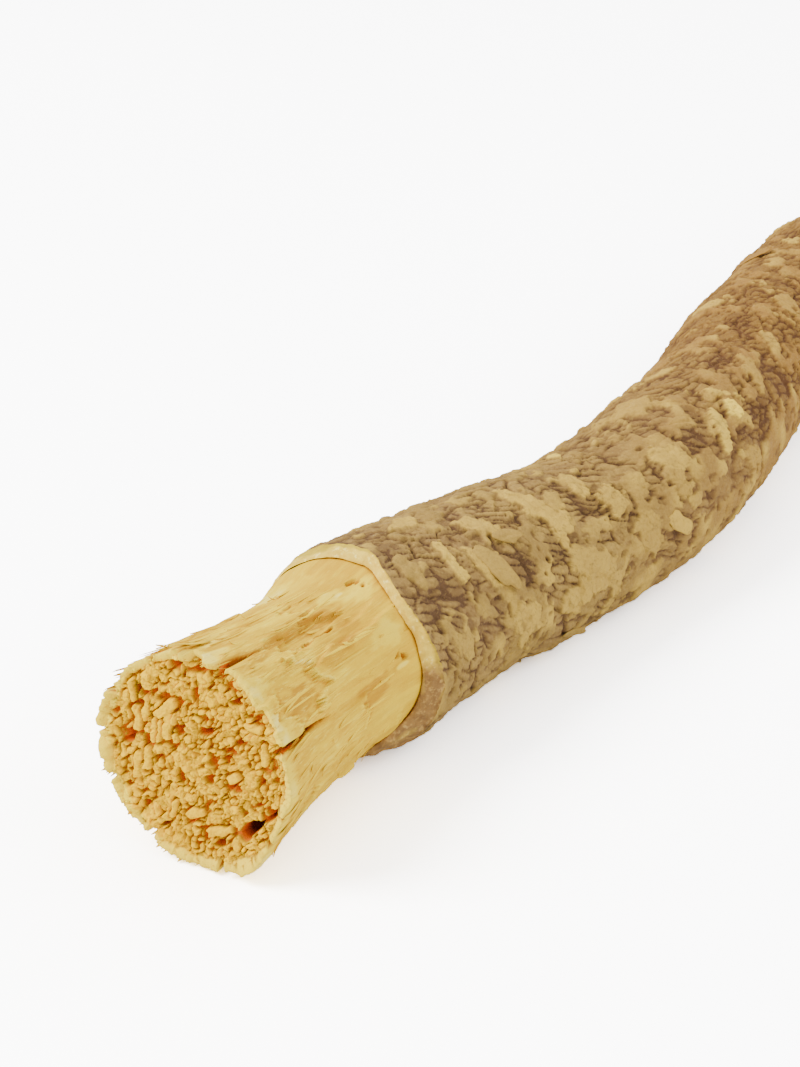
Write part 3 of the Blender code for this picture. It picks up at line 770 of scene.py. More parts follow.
def wood_side(finish):
    """The peeled side from inside the bark to the rim, over the rim's lip and down its inner wall.

    radius = mean radius + strips + streaks + the bead in the bark's mouth - splits + the rim's curl - its
    dent. The rim's thickness varies round the stick.
    """
    angle = ring_angles(WOOD_COLUMNS)[None]
    tip = rim_along(angle)
    share = np.linspace(0, 1, SIDE_ROWS)[:, None]
    along = WOOD_START + (tip - WOOD_START) * share
    round_angle = angle + 0 * along
    strip, crest_highlight, foot_shade = strip_layers(along, round_angle)
    streak, broad, middle = streaks(along, round_angle)
    cut = split_cuts(along, round_angle)
    lip = collar_value(angle, 2)
    swell = collar_value(angle, 3) - BEAD_GAP - WAIST_RADIUS
    bead = swell * np.exp(-((np.minimum(along - lip, 0) / (BEAD_REACH + BEAD_SPREAD * swell)) ** 2))
    radius = wood_radius(along) + strip + streak + bead - cut
    curl = 0.2 * smoothstep(1 - along / 1.6) * stick_noise("rim curl", along, round_angle, 30.0, 21)
    radius = radius + curl - rim_dent(along, round_angle)
    thick = 0.36 + 0.12 * stick_noise("rim thickness", angle * 0, angle, 1.0, 61)
    lip_share = np.linspace(0, 1, LIP_ROWS + 1)[1:, None]
    lip_along = tip - 0.05 * np.sin(math.pi * lip_share) + 0.1 * lip_share
    lip_radius = radius[-1:] - thick * lip_share
    inner_share = np.linspace(0, 1, INNER_ROWS + 1)[1:, None]
    inner_along = lip_along[-1:] + 2.6 * inner_share
    innermost = np.minimum(FACE_RADIUS - 0.4, lip_radius[-1:] - 0.15)
    inner_radius = lip_radius[-1:] + (innermost - lip_radius[-1:]) * inner_share**0.25
    inner_angle = angle + 0 * inner_along
    inner_radius = inner_radius + 0.07 * stick_noise("inner wall", inner_along, inner_angle, 2.0, 120)
    stick = np.concatenate(
        [
            round_stick(along, angle, radius),
            round_stick(lip_along, angle, lip_radius),
            round_stick(inner_along, angle, inner_radius),
        ]
    )
    past_rim = np.ones((LIP_ROWS + INNER_ROWS, WOOD_COLUMNS))
    # Painted shade down the splits and at torn feet; tone adds painted highlight on crests and painted shadow
    # at feet.
    sunk_shade = np.maximum(smoothstep(cut / 0.3), 0.45 * foot_shade)
    tone = stain_tones(along, round_angle) + 0.25 * broad + crest_highlight - 0.5 * foot_shade
    marks = {
        # deep: painted shade in the splits, at torn feet and notches, and down the rim's inner wall.
        "deep": np.concatenate([sunk_shade, 0 * lip_radius, 0.75 * inner_share + 0 * angle]),
        "tone": np.concatenate([tone + smoothstep(1 - along / 0.7), past_rim]),
        "pale": np.concatenate([0.5 + 0.5 * middle, past_rim]),
        # gap: painted shade where the wood goes into the bark's mouth.
        "gap": np.concatenate([smoothstep((along - lip + 0.1) / 0.3), 0 * past_rim]),
    }
    return grid_piece("wood_side", stick, finish, marks, flip=True)


def disc_grid(count, radius):
    """A square grid carried onto a disc by the equal-area map, ring by ring: its (left, up) points."""
    line = np.linspace(-1, 1, count)
    a, b = np.meshgrid(line, line, indexing="ij")
    wide = np.abs(a) > np.abs(b)
    r = np.where(wide, a, b)
    other = np.where(wide, b, a)
    part = np.divide(other, r, out=np.zeros_like(r), where=r != 0) * math.pi / 4
    turn = np.where(wide, part, math.pi / 2 - part)
    return radius * r * np.cos(turn), radius * r * np.sin(turn)


def bundle_sites():
    """One point for each fibre bundle: growth rings of jittered points, further apart towards the rim.

    They are furthest apart on the left, where the bundles are longest round the ring.
    """
    draw = rng("bundles")
    left, up = [np.zeros(1)], [np.zeros(1)]
    turns = np.linspace(-math.pi, math.pi, 361)
    crowd = np.cumsum(1 / (1 + LONG_ON_LEFT * smoothstep(np.cos(turns))))
    width, wider = BUNDLE_WIDTH
    for ring in np.arange(RING_STEP, FACE_RADIUS, RING_STEP):
        count = round(BUNDLE_SHARE * TURN * ring / (width + wider * ring))
        places = (np.arange(count) + draw.uniform(0, 1) + draw.uniform(-0.3, 0.3, count)) / count % 1
        turn = np.interp(places * crowd[-1], crowd, turns)
        radius = ring + draw.uniform(-RING_JITTER, RING_JITTER, count)
        left.append(radius * np.cos(turn))
        up.append(radius * np.sin(turn))
    return np.concatenate(left), np.concatenate(up)


def face_pits(x, y):
    """How deep the pits between the bundles are: the listed ovals, and smaller ones by a rule."""
    draw = rng("more pits")
    reach, turn = FACE_RADIUS * np.sqrt(draw.uniform(0, 0.96, MORE_PITS)), draw.uniform(0, TURN, MORE_PITS)
    half = draw.uniform(0.07, 0.14, MORE_PITS)
    long = half * draw.uniform(1, 3, MORE_PITS)
    turned, deep = draw.uniform(0, 180, MORE_PITS), draw.uniform(0.3, 0.7, MORE_PITS)
    more = np.stack([reach * np.cos(turn), reach * np.sin(turn), half, long, turned, deep], axis=-1)
    depth = np.zeros(x.shape)
    for left, up, width, length, degrees, own in (*PITS, *more):
        forward, aside = measured(x - left, y - up, degrees)
        off = np.hypot(forward / length, aside / width)
        depth = np.maximum(depth, own * smoothstep((1.25 - off) / 0.6))
    return depth


def face_rods(x, y):
    """The longest bundles: 1 on each rod, 1 in the groove round it, and the height of its rounded top."""
    rod, moat, top = (np.zeros(x.shape) for _ in range(3))
    slopes = rng("rod slopes").normal(0, 0.08, len(RODS))
    for (left, up, width, length, degrees), slope in zip(RODS, slopes):
        forward, aside = measured(x - left, y - up, degrees)
        off = ((forward / length) ** 6 + (aside / width) ** 6) ** (1 / 6)
        own = smoothstep((1.05 - off) / 0.15)
        top = np.where(own > rod, 0.12 + slope * forward + slope * aside - 0.07 * (aside / width) ** 2, top)
        rod = np.maximum(rod, own)
        moat = np.maximum(moat, smoothstep((1.5 - off) / 0.3))
    return rod, moat * (1 - rod), top


def fibre_bundles(finish):
    """The brush face: a height over a disc.

    Each bundle is the cell round its site, with its own height and slope. Its top is broken into finer
    fibres, narrow gaps part it from the next one, and pits go down between some of them. Where a split or
    the dent cuts into the rim, the disc's edge is drawn in to it and turned down. The outermost ring hangs
    down, so that no gap opens at the rim.
    """
    left, up = disc_grid(FACE_GRID, FACE_RADIUS)
    r, turn = np.hypot(left, up), np.arctan2(up, left)
    tip = rim_along(turn)
    limit = np.minimum(BRUSH_RADIUS - 0.12 - split_cuts(tip, turn) - rim_dent(tip, turn), FACE_RADIUS)
    over = np.maximum(r - limit, 0)
    left, up = (line * np.minimum(1, limit / np.maximum(r, 1e-6)) for line in (left, up))
    warp_l = 0.17 * noise("warp l", left / 0.45, up / 0.45) + 0.07 * noise("warp l2", left / 0.18, up / 0.18)
    warp_u = 0.17 * noise("warp u", left / 0.45, up / 0.45) + 0.07 * noise("warp u2", left / 0.18, up / 0.18)
    x, y = left + warp_l, up + warp_u
    sites_l, sites_u = bundle_sites()
    draw = rng("bundle tops")
    rises = draw.uniform(-BUNDLE_RISE, BUNDLE_RISE, len(sites_l))
    slopes = draw.normal(0, BUNDLE_SLOPE, (len(sites_l), 2))
    tints = draw.uniform(0, 1, len(sites_l))
    nearest = second = np.full(x.shape, np.inf)
    top, tint = np.zeros(x.shape), np.zeros(x.shape)
    for site_l, site_u, rise, slope, own in zip(sites_l, sites_u, rises, slopes, tints):
        distance = np.hypot(x - site_l, y - site_u)
        first = distance < nearest
        plane = rise + (x - site_l) * slope[0] + (y - site_u) * slope[1]
        top, tint = np.where(first, plane, top), np.where(first, own, tint)
        second = np.minimum(second, np.maximum(distance, nearest))
        nearest = np.minimum(nearest, distance)
    open_here = smoothstep(0.5 + 1.1 * noise("open places", left / 0.7, up / 0.7))
    gap = 0.05 + 0.08 * open_here
    inside = smoothstep((second - nearest - 0.15 * gap) / gap)
    floor = -0.12 - 0.3 * open_here
    fine_within, fine_own = flat_net("fine fibres", x, y, FINE_FIBRE)
    crumbs = 0.1 * (fine_own - 0.5) - 0.05 * smoothstep(1 - fine_within / 0.25)
    height = floor + (top + crumbs - floor) * inside
    rod, moat, rod_top = face_rods(left + 0.7 * warp_l, up + 0.7 * warp_u)
    height = height * (1 - rod) + (rod_top + 0.6 * crumbs) * rod - 0.35 * moat
    height = height + 0.02 * noise("fuzz", left / 0.09, up / 0.09)
    pit = face_pits(x, y) * (1 - 0.8 * rod)
    height = height - pit * (0.64 + 0.16 * inside)
    edge = r / FACE_RADIUS
    height = height - 0.08 * smoothstep((edge - 0.97) / 0.03) - 4 * over
    # How deep a point lies below the tops, for painted shade: olive, orange, red-brown, near black in gaps
    # and pits.
    depth = np.clip(np.maximum(0.9 * pit, 1.3 * (0.03 - height)), 0, 1.5)
    height = height - 0.7 * (edge > 0.995)
    skin = smoothstep((edge - 0.955 + 0.04 * left / FACE_RADIUS + 0.02 * noise("skin", left, up)) / 0.03)
    stick = np.stack([-height - face_reach(left, up), left, up], axis=-1)
    marks = {"depth": depth, "tint": 0.65 * tint + 0.35 * fine_own, "skin": skin}
    return grid_piece("fibre_bundles", stick, finish, marks, wrap=False)


def fibre_blades(name, finish, along, angle, radius, width, thick, tone):
    """Many thin tapered blades as one piece, wide round the stick and thin outwards.

    Each blade's six-sided section is carried along its stations, and both of its ends are closed.
    """
    side = np.stack([0 * angle, -np.sin(angle), np.cos(angle)], axis=-1) * width[..., None] / 2
    out = np.stack([0 * angle, np.cos(angle), np.sin(angle)], axis=-1) * thick[..., None] / 2
    turn = ring_angles(6)
    section = side[..., None, :] * np.cos(turn)[:, None] + out[..., None, :] * np.sin(turn)[:, None]
    stick = round_stick(along, angle, radius)[..., None, :] + section
    count, stations = stick.shape[:2]
    tube = grid_faces(stations, 6, wrap=True, flip=False)
    end = (stations - 1) * 6 + np.array([(0, 1, 2, 3), (0, 3, 4, 5)])
    one = np.concatenate([tube, [(3, 2, 1, 0), (5, 4, 3, 0)], end])
    quads = (one[None] + (np.arange(count) * stations * 6)[:, None, None]).reshape(-1, 4)
    tone = np.broadcast_to(tone[..., None], stick.shape[:3]).reshape(-1)
    marks = {"pale": tone, "tone": tone, "deep": 0 * tone, "gap": 0 * tone}
    return piece(name, stick, quads, finish, marks)


def rim_splinters(finish):
    """Torn slivers round the rim: they leave the side, drift a little and thin out past the face.

    The listed ones come first and lift away from the side by the square of the way to their tips.
    """
    count, stations = RIM_SPLINTERS, SPLINTER_STATIONS
    draw = rng("rim splinters")
    share = np.linspace(0, 1, stations)
    angle = draw.uniform(0, TURN, (count, 1))
    base, reach = draw.uniform(0.8, 2.6, (count, 1)), draw.gamma(1.6, 0.06, (count, 1))
    lean = draw.normal(0, 0.02, (count, 1)) * share + draw.normal(0, 0.02, (count, 1)) * share**2
    inset, lift = draw.uniform(0.0, 0.4, (count, 1)), draw.normal(0.0, 0.05, (count, 1))
    wide = draw.uniform(0.1, 0.34, (count, 1))
    listed = len(SLIVERS)
    degrees, base[:listed, 0], reach[:listed, 0], lift[:listed, 0], wide[:listed, 0] = zip(*SLIVERS)
    angle[:listed, 0], inset[:listed] = np.radians(degrees), 0
    along = base - (base + reach + rim_tip(angle)) * share
    radius = wood_radius(np.maximum(along, 0)) - inset + 0.04 + lift * share**2
    width = wide * np.sqrt(np.clip(1.02 - share**3, 0.004, 1))
    thick = draw.uniform(0.05, 0.13, (count, 1)) * (1.05 - share)
    tone = draw.uniform(0, 1, (count, 1)) + 0 * share
    return fibre_blades("rim_splinters", finish, along, angle + lean, radius, width, thick, tone)


def side_fibres(finish):
    """Loose fibres lying along the peeled side, most of them lifted at the end nearer the brush."""
    count, stations = SIDE_FIBRES, FIBRE_STATIONS
    draw = rng("side fibres")
    share = np.linspace(0, 1, stations)
    angle = draw.uniform(0, TURN, (count, 1))
    start = draw.uniform(1.2, 12.6, (count, 1))
    run = np.minimum(draw.gamma(3.0, 0.9, (count, 1)), start - 0.2)
    along = start - run * share
    drift = draw.normal(0, 0.03, (count, 1)) * share
    surface = wood_radius(along) + strip_layers(along, angle + drift)[0] + streaks(along, angle + drift)[0]
    lift = draw.gamma(1.5, 0.06, (count, 1)) * share**3
    radius = surface - split_cuts(along, angle + drift) - 0.015 + lift
    width = draw.uniform(0.06, 0.24, (count, 1)) * np.sin(math.pi * np.clip(0.08 + 0.9 * share, 0, 1)) ** 0.6
    thick = draw.uniform(0.04, 0.09, (count, 1)) + 0 * share
    tone = draw.uniform(0, 1, (count, 1)) + 0 * share
    return fibre_blades("side_fibres", finish, along, angle + drift, radius, width, thick, tone)


def bark_flakes(finish):
    """Corky flakes that have come loose at one end: thin closed shells over the bark.

    A flake is a ragged oval, laid on the bark at one end and lifted by the square of the way to the other.
    """
    count = FLAKE_GRID
    a, b = disc_grid(count, 1.0)
    flakes = np.array(scattered("more flakes", FLAKES, *MORE_FLAKES))
    centre, degrees, length, width, turn, lift = (column[:, None, None] for column in flakes.T)
    number = np.arange(len(flakes))[:, None, None]
    ragged = 1 + 0.25 * noise("flake outline", number * 7.3 + a * 1.9, b * 1.9) * np.hypot(a, b)
    forward, aside = a * length / 2 * ragged, b * width / 2 * ragged
    c, s = np.cos(np.radians(turn)), np.sin(np.radians(turn))
    along = centre + forward * c - aside * s
    angle = np.radians(degrees) + (forward * s + aside * c) / BARK_RADIUS
    height, _ = bark_surface(along, angle)
    middle = height.mean(axis=(1, 2), keepdims=True)
    rise = middle + 0.08 + lift * np.clip((a + 1) / 2, 0, 1) ** 2
    rise = rise + 0.05 * noise("flake top", a * 3 + number, b * 3)
    edge = np.clip(1 - np.hypot(a, b), 0, 1)
    thick = 0.05 + 0.12 * smoothstep(edge * 3)
    radius = bark_radius(along) + rise
    top, under = round_stick(along, angle, radius + thick / 2), round_stick(along, angle, radius - thick / 2)
    stick = np.concatenate([top.reshape(len(flakes), -1, 3), under.reshape(len(flakes), -1, 3)], axis=1)
    face = grid_faces(count, count, wrap=False, flip=False)
    below = face[:, ::-1] + count * count
    here = np.arange(count * count).reshape(count, count)
    rim = np.concatenate([here[0, :-1], here[:-1, -1], here[-1, :0:-1], here[:0:-1, 0]])
    after = np.roll(rim, -1)
    wall = np.stack([after, rim, rim + count * count, after + count * count], axis=-1)
    one = np.concatenate([face, below, wall])
    quads = (one[None] + (np.arange(len(flakes)) * 2 * count * count)[:, None, None]).reshape(-1, 4)
    draws = rng("flake tint").uniform(0.1, 1, len(flakes))
    tint = np.repeat(draws, 2 * count * count)
    marks = {"groove_and_shade": 0 * tint, "plate": 0 * tint + 1, "tint": tint, "own": tint}
    return piece("bark_flakes", stick, quads, finish, marks)


def cut_end(finish):
    """The far cut through the wood: a flat disc with saw marks, uneven growth rings and small fibre ends."""
    radius = bark_radius(LENGTH) - WALL - 0.1
    left, up = disc_grid(END_GRID, radius)
    r, turn = np.hypot(left, up), np.arctan2(up, left)
    uneven = 2.2 * noise("end rings", r / 1.4, turn / TURN * 7, 7) + 1.5 * noise("end rings 2", left, up)
    rings = 0.5 + 0.5 * np.sin(r * 6.5 + uneven)
    within, own = flat_net("end fibres", left, up, END_FIBRE)
    fibres = smoothstep(within / 0.3)
    saw = 0.03 * noise("saw", (left + 0.3 * up) / 0.25, up * 0.2)
    along = far_cut(turn, r) + 0.02 * rings + saw + 0.05 * fibres + 0.04 * own
    edge = smoothstep((r / radius - 0.97) / 0.03)
    stick = np.stack([along - 0.3 * edge, left, up], axis=-1)
    ring = 0.35 * rings + 0.3 * own + 0.35 * fibres
    return grid_piece("cut_end", stick, finish, {"ring": ring}, wrap=False, flip=True)


def bark_end(finish):
    """The far cut through the bark: from its outer edge across the wall and a little way down the bore."""
    angle = ring_angles(BARK_COLUMNS)[None]
    share = np.linspace(0, 1, END_ROWS)[:, None]
    outer = far_cut(angle, bark_radius(LENGTH))
    height, _ = bark_surface(outer, angle)
    outer_radius = bark_radius(outer) + height
    inner_radius = bark_radius(LENGTH) - WALL
    radius = outer_radius + (inner_radius - outer_radius) * smoothstep(share / 0.8)
    along = far_cut(angle, radius) - 1.5 * smoothstep((share - 0.8) / 0.2)
    chatter = 0.04 * stick_noise("end chatter", share * 5 + 0 * angle, angle + 0 * share, 1.0, 90)
    along = along + chatter * (share > 0)
    marks = {
        "stain": 0.7 + 0.6 * cut_noise("end stain", share, angle, 2, 19),
        # Down the bore: painted shade.
        "inside": smoothstep((share - 0.75) / 0.1) + 0 * angle,
        "ridge": 0.7 + 0 * (share + angle),
    }
    return grid_piece("bark_end", round_stick(along, angle, radius), finish, marks)


# Materials


class Tree:
    """A node tree with short calls: each adds a node, sets its inputs and returns its output."""

    def __init__(self, tree):
        self.tree = tree

    def add(self, kind, output=0, settings=(), **inputs):
        node = self.tree.nodes.new(kind)
        for key, value in dict(settings).items():
            setattr(node, key, value)
        for key, value in inputs.items():
            self.feed(node.inputs[key.replace("_", " ")], value)
        return node.outputs[output]

    def feed(self, socket, value):
        if isinstance(value, bpy.types.NodeSocket):
            self.tree.links.new(value, socket)
        elif hasattr(value, "__len__") and len(value) == 3 and socket.type == "RGBA":
            socket.default_value = (*value, 1.0)
        else:
            socket.default_value = value

    def mark(self, name, vector=False):
        return self.add("ShaderNodeAttribute", "Vector" if vector else "Fac", {"attribute_name": name})

    def math(self, operation, first, second, clamp=False):
        node = self.tree.nodes.new("ShaderNodeMath")
        node.operation = operation
        node.use_clamp = clamp
        self.feed(node.inputs[0], first)
        self.feed(node.inputs[1], second)
        return node.outputs[0]

    def times(self, first, second):
        return self.math("MULTIPLY", first, second)

    def mix(self, factor, first, second):
        """From the first colour to the second as the factor goes from 0 to 1."""
        node = self.tree.nodes.new("ShaderNodeMix")
        node.data_type = "RGBA"
        self.feed(node.inputs["Factor"], factor)
        self.feed(node.inputs[6], first)
        self.feed(node.inputs[7], second)
        return node.outputs[2]

    def span(self, value, low, high, to_low=0.0, to_high=1.0):
        """Maps low..high to to_low..to_high, held at both ends."""
        ends = {"From_Min": low, "From_Max": high, "To_Min": to_low, "To_Max": to_high}
        return self.add("ShaderNodeMapRange", 0, Value=value, **ends)

    def scaled(self, vector, factors):
        node = self.tree.nodes.new("ShaderNodeVectorMath")
        node.operation = "MULTIPLY"
        self.feed(node.inputs[0], vector)
        self.feed(node.inputs[1], factors)
        return node.outputs[0]

    def noise(self, vector, scale, detail, roughness):
        kind = "ShaderNodeTexNoise"
        return self.add(kind, "Fac", Vector=vector, Scale=scale, Detail=detail, Roughness=roughness)

    def group(self, tree, **inputs):
        node = self.tree.nodes.new("ShaderNodeGroup")
        node.node_tree = tree
        for key, value in inputs.items():
            self.feed(node.inputs[key], value)
        return node.outputs


def new_group(name, sizes, result):
    """A node group with a Stick input, an input with a usual value for each size, and one result."""
    tree = bpy.data.node_groups.new(name, "ShaderNodeTree")
    tree.interface.new_socket("Stick", in_out="INPUT", socket_type="NodeSocketVector")
    for size, usual in sizes.items():
        made = tree.interface.new_socket(size, in_out="INPUT", socket_type="NodeSocketFloat")
        made.default_value = usual
    tree.interface.new_socket(result, in_out="OUTPUT", socket_type="NodeSocketFloat")
    return tree, tree.nodes.new("NodeGroupInput").outputs, tree.nodes.new("NodeGroupOutput").inputs


def streak_group():
    """Grain along the stick: noise of straight-stick points squeezed along, so it draws out in lines."""
    tree, given, result = new_group("streaks along the stick", {"Width": 0.2, "Length": 3.0}, "Streak")
    t = Tree(tree)
    across, along = t.math("DIVIDE", 1.0, given["Width"]), t.math("DIVIDE", 1.0, given["Length"])
    factors = t.add("ShaderNodeCombineXYZ", 0, X=along, Y=across, Z=across)
    t.feed(result["Streak"], t.noise(t.scaled(given["Stick"], factors), 1.0, 3.0, 0.55))
    return tree


def mottle_group():
    """Blotches: noise of straight-stick points, stretched from its middle towards 0 and 1."""
    tree, given, result = new_group("mottle", {"Size": 2.0, "Contrast": 2.0}, "Blotch")
    t = Tree(tree)
    value = t.noise(given["Stick"], t.math("DIVIDE", 1.0, given["Size"]), 4.0, 0.6)
    spread = t.times(t.math("SUBTRACT", value, 0.5), given["Contrast"])
    t.feed(result["Blotch"], t.math("ADD", spread, 0.5, clamp=True))
    return tree


def new_material(name):
    made = bpy.data.materials.new(name)
    made.use_nodes = True
    shader = made.node_tree.nodes["Principled BSDF"]
    return made, Tree(made.node_tree), shader.inputs


def bump(t, shader, height, distance, strength):
    """A bump of a height pattern, its distance in metres."""
    normal = t.add("ShaderNodeBump", "Normal", Height=height, Distance=distance, Strength=strength)
    t.feed(shader["Normal"], normal)


def bark_material(mottle):
    """Tan ridges over purple-brown grooves and painted shade, with paler olive and straw plates, warmer along
    the stick.
    """
    made, t, shader = new_material("bark")
    stick = t.mark("stick", vector=True)
    broad = t.group(mottle, Stick=stick, Size=7.0, Contrast=3.0)[0]
    small = t.group(mottle, Stick=stick, Size=0.9, Contrast=2.5)[0]
    crumb = t.group(mottle, Stick=stick, Size=0.2, Contrast=2.2)[0]
    along = t.add("ShaderNodeSeparateXYZ", 0, Vector=stick)
    warm = t.span(along, 32.0, 62.0)
    ridge = t.mix(t.mark("own"), (0.27, 0.155, 0.044), (0.49, 0.31, 0.067))
    ridge = t.mix(t.times(small, 0.6), ridge, (0.36, 0.225, 0.054))
    ridge = t.mix(t.times(broad, 0.5), ridge, (0.26, 0.15, 0.054))
    ridge = t.mix(t.times(warm, 0.8), ridge, (0.25, 0.12, 0.022))
    # Dark colour of the grooves, also laid on as painted shade in creases, holes and at plate edges.
    groove_and_shade = t.mix(broad, (0.085, 0.042, 0.018), (0.13, 0.068, 0.03))
    groove_and_shade = t.mix(t.times(warm, 0.7), groove_and_shade, (0.12, 0.045, 0.014))
    tint = t.mark("tint")
    plate = t.mix(tint, (0.33, 0.205, 0.048), (0.69, 0.45, 0.07))
    plate = t.mix(t.times(small, 0.45), plate, (0.36, 0.215, 0.05))
    warmed = t.times(warm, t.span(tint, 0.3, 1.0, 0.85, 0.15))
    plate = t.mix(warmed, plate, (0.36, 0.18, 0.035))
    plate = t.mix(t.span(tint, 1.0, 1.6), plate, (0.95, 0.66, 0.08))
    colour = t.mix(t.mark("plate"), ridge, plate)
    colour = t.mix(t.span(t.mark("groove_and_shade"), 0.15, 0.8), colour, groove_and_shade)
    colour = t.mix(t.span(crumb, 0.5, 1, 0, 0.4), colour, (0.2, 0.11, 0.034))
    colour = t.mix(t.span(crumb, 0.4, 0, 0, 0.3), colour, (0.56, 0.37, 0.09))
    t.feed(shader["Base Color"], colour)
    t.feed(shader["Roughness"], t.span(crumb, 0, 1, 0.75, 0.95))
    shader["Specular IOR Level"].default_value = 0.15
    bump(t, shader, t.noise(stick, 9.0, 4.0, 0.65), 0.00012, 0.6)
    return made


def collar_material(mottle):
    """Cream inner bark, brown in stains and painted shade, dark orange painted shade down in the gap."""
    made, t, shader = new_material("cut bark")
    stick = t.mark("stick", vector=True)
    small = t.group(mottle, Stick=stick, Size=0.6, Contrast=2.4)[0]
    speck = t.group(mottle, Stick=stick, Size=0.3, Contrast=3.0)[0]
    cream = t.mix(small, (0.66, 0.43, 0.04), (0.9, 0.64, 0.085))
    cream = t.mix(t.span(speck, 0.75, 1.0), cream, (0.98, 0.77, 0.2))
    olive = t.mix(small, (0.44, 0.29, 0.022), (0.64, 0.46, 0.035))
    cream = t.mix(t.mark("ridge"), olive, cream)
    # Brown: stains, and on the collar's lower side painted shade as well.
    stained_and_shaded = t.mix(small, (0.21, 0.11, 0.034), (0.4, 0.22, 0.06))
    stained_and_shaded = t.mix(t.span(speck, 0.6, 1.0), stained_and_shaded, (0.52, 0.32, 0.09))
    colour = t.mix(t.span(t.mark("stain"), 0.3, 0.9), cream, stained_and_shaded)
    # Painted shade: dark orange down in the gap between bark and wood, and down the bore.
    colour = t.mix(t.mark("inside"), colour, (0.45, 0.15, 0.012))
    t.feed(shader["Base Color"], colour)
    t.feed(shader["Roughness"], t.span(small, 0, 1, 0.6, 0.85))
    shader["Specular IOR Level"].default_value = 0.15
    bump(t, shader, t.noise(stick, 7.0, 4.0, 0.6), 0.0001, 0.5)
    return made


def side_material(mottle, streak):
    """Peeled wood: straw yellow, streaked cream and ochre along the grain; painted orange shade in splits."""
    made, t, shader = new_material("peeled wood")
    stick = t.mark("stick", vector=True)
    broad = t.group(mottle, Stick=stick, Size=3.5, Contrast=2.6)[0]
    fine = t.group(streak, Stick=stick, Width=0.1, Length=1.6)[0]
    wide = t.group(streak, Stick=stick, Width=0.5, Length=4.5)[0]
    tone = t.mark("tone")
    along = t.add("ShaderNodeSeparateXYZ", 0, Vector=stick)
    frayed = t.span(along, 11.0, 5.0, 0.35, 1.0)
    blotch = t.group(mottle, Stick=stick, Size=1.3, Contrast=3.0)[0]
    colour = t.mix(t.span(wide, 0.35, 0.65), (0.62, 0.35, 0.012), (0.76, 0.46, 0.016))
    colour = t.mix(t.times(blotch, 0.4), colour, (0.88, 0.62, 0.03))
    # The tone mark holds pale and ochre patches, and also painted highlight on torn crests and painted shadow
    # at their feet.
    colour = t.mix(t.span(tone, 0.0, -1.0, 0, 0.9), colour, (0.50, 0.235, 0.012))
    colour = t.mix(t.span(tone, 0.0, 1.0, 0, 0.8), colour, (0.95, 0.70, 0.045))
    colour = t.mix(t.span(tone, 0.9, 1.7, 0, 0.9), colour, (1.0, 0.84, 0.2))
    colour = t.mix(t.times(t.span(fine, 0.54, 0.76, 0, 0.8), frayed), colour, (0.98, 0.79, 0.1))
    colour = t.mix(t.times(t.span(fine, 0.42, 0.27, 0, 0.6), frayed), colour, (0.48, 0.22, 0.012))
    colour = t.mix(t.span(t.mark("pale"), 0.5, 1, 0, 0.5), colour, (0.95, 0.68, 0.025))
    colour = t.mix(t.times(broad, 0.2), colour, (0.68, 0.4, 0.015))
    # Painted shade, orange-red: splits, torn feet, notches and the rim's inner wall.
    colour = t.mix(t.span(t.mark("deep"), 0.2, 0.9), colour, (0.42, 0.12, 0.008))
    # Painted shade where the wood runs into the bark's mouth.
    colour = t.mix(t.mark("gap"), colour, (0.48, 0.17, 0.012))
    t.feed(shader["Base Color"], colour)
    t.feed(shader["Roughness"], t.span(fine, 0.3, 0.7, 0.8, 0.6))
    shader["Specular IOR Level"].default_value = 0.03
    bump(t, shader, fine, 0.00009, 0.5)
    return made


def face_material(mottle):
    """Fibre ends: straw tops; painted shade, orange then red-brown, down between the bundles."""
    made, t, shader = new_material("fibre ends")
    stick = t.mark("stick", vector=True)
    small = t.group(mottle, Stick=stick, Size=0.25, Contrast=2.4)[0]
    top = t.mix(t.mark("tint"), (0.78, 0.41, 0.003), (1.0, 0.59, 0.004))
    top = t.mix(t.times(small, 0.5), top, (1.0, 0.68, 0.006))
    top = t.mix(t.mark("skin"), top, (1.0, 0.74, 0.045))
    depth = t.mark("depth")
    # Painted shade by depth: olive in shallow gaps, then orange, red-brown, and near black in the deepest
    # pits.
    colour = t.mix(t.span(depth, 0.08, 0.35), top, (0.46, 0.24, 0.006))
    colour = t.mix(t.span(depth, 0.32, 0.6), colour, (0.74, 0.18, 0.003))
    colour = t.mix(t.span(depth, 0.75, 1.1), colour, (0.55, 0.1, 0.002))
    colour = t.mix(t.span(depth, 1.1, 1.5), colour, (0.14, 0.02, 0.002))
    t.feed(shader["Base Color"], colour)
    t.feed(shader["Roughness"], t.span(small, 0, 1, 0.65, 0.85))
    shader["Specular IOR Level"].default_value = 0.0
    bump(t, shader, t.noise(stick, 12.0, 3.0, 0.6), 0.00008, 0.5)
    return made


def end_material(mottle):
    """The sawn far end: straw wood with darker growth rings."""
    made, t, shader = new_material("cut wood")
    stick = t.mark("stick", vector=True)
    small = t.group(mottle, Stick=stick, Size=0.4, Contrast=2.2)[0]
    colour = t.mix(t.mark("ring"), (0.36, 0.17, 0.02), (0.80, 0.50, 0.05))
    colour = t.mix(t.times(small, 0.4), colour, (0.48, 0.26, 0.03))
    t.feed(shader["Base Color"], colour)
    t.feed(shader["Roughness"], t.span(small, 0, 1, 0.65, 0.85))
    bump(t, shader, t.noise(stick, 10.0, 3.0, 0.6), 0.00008, 0.5)
    return made


# Studio

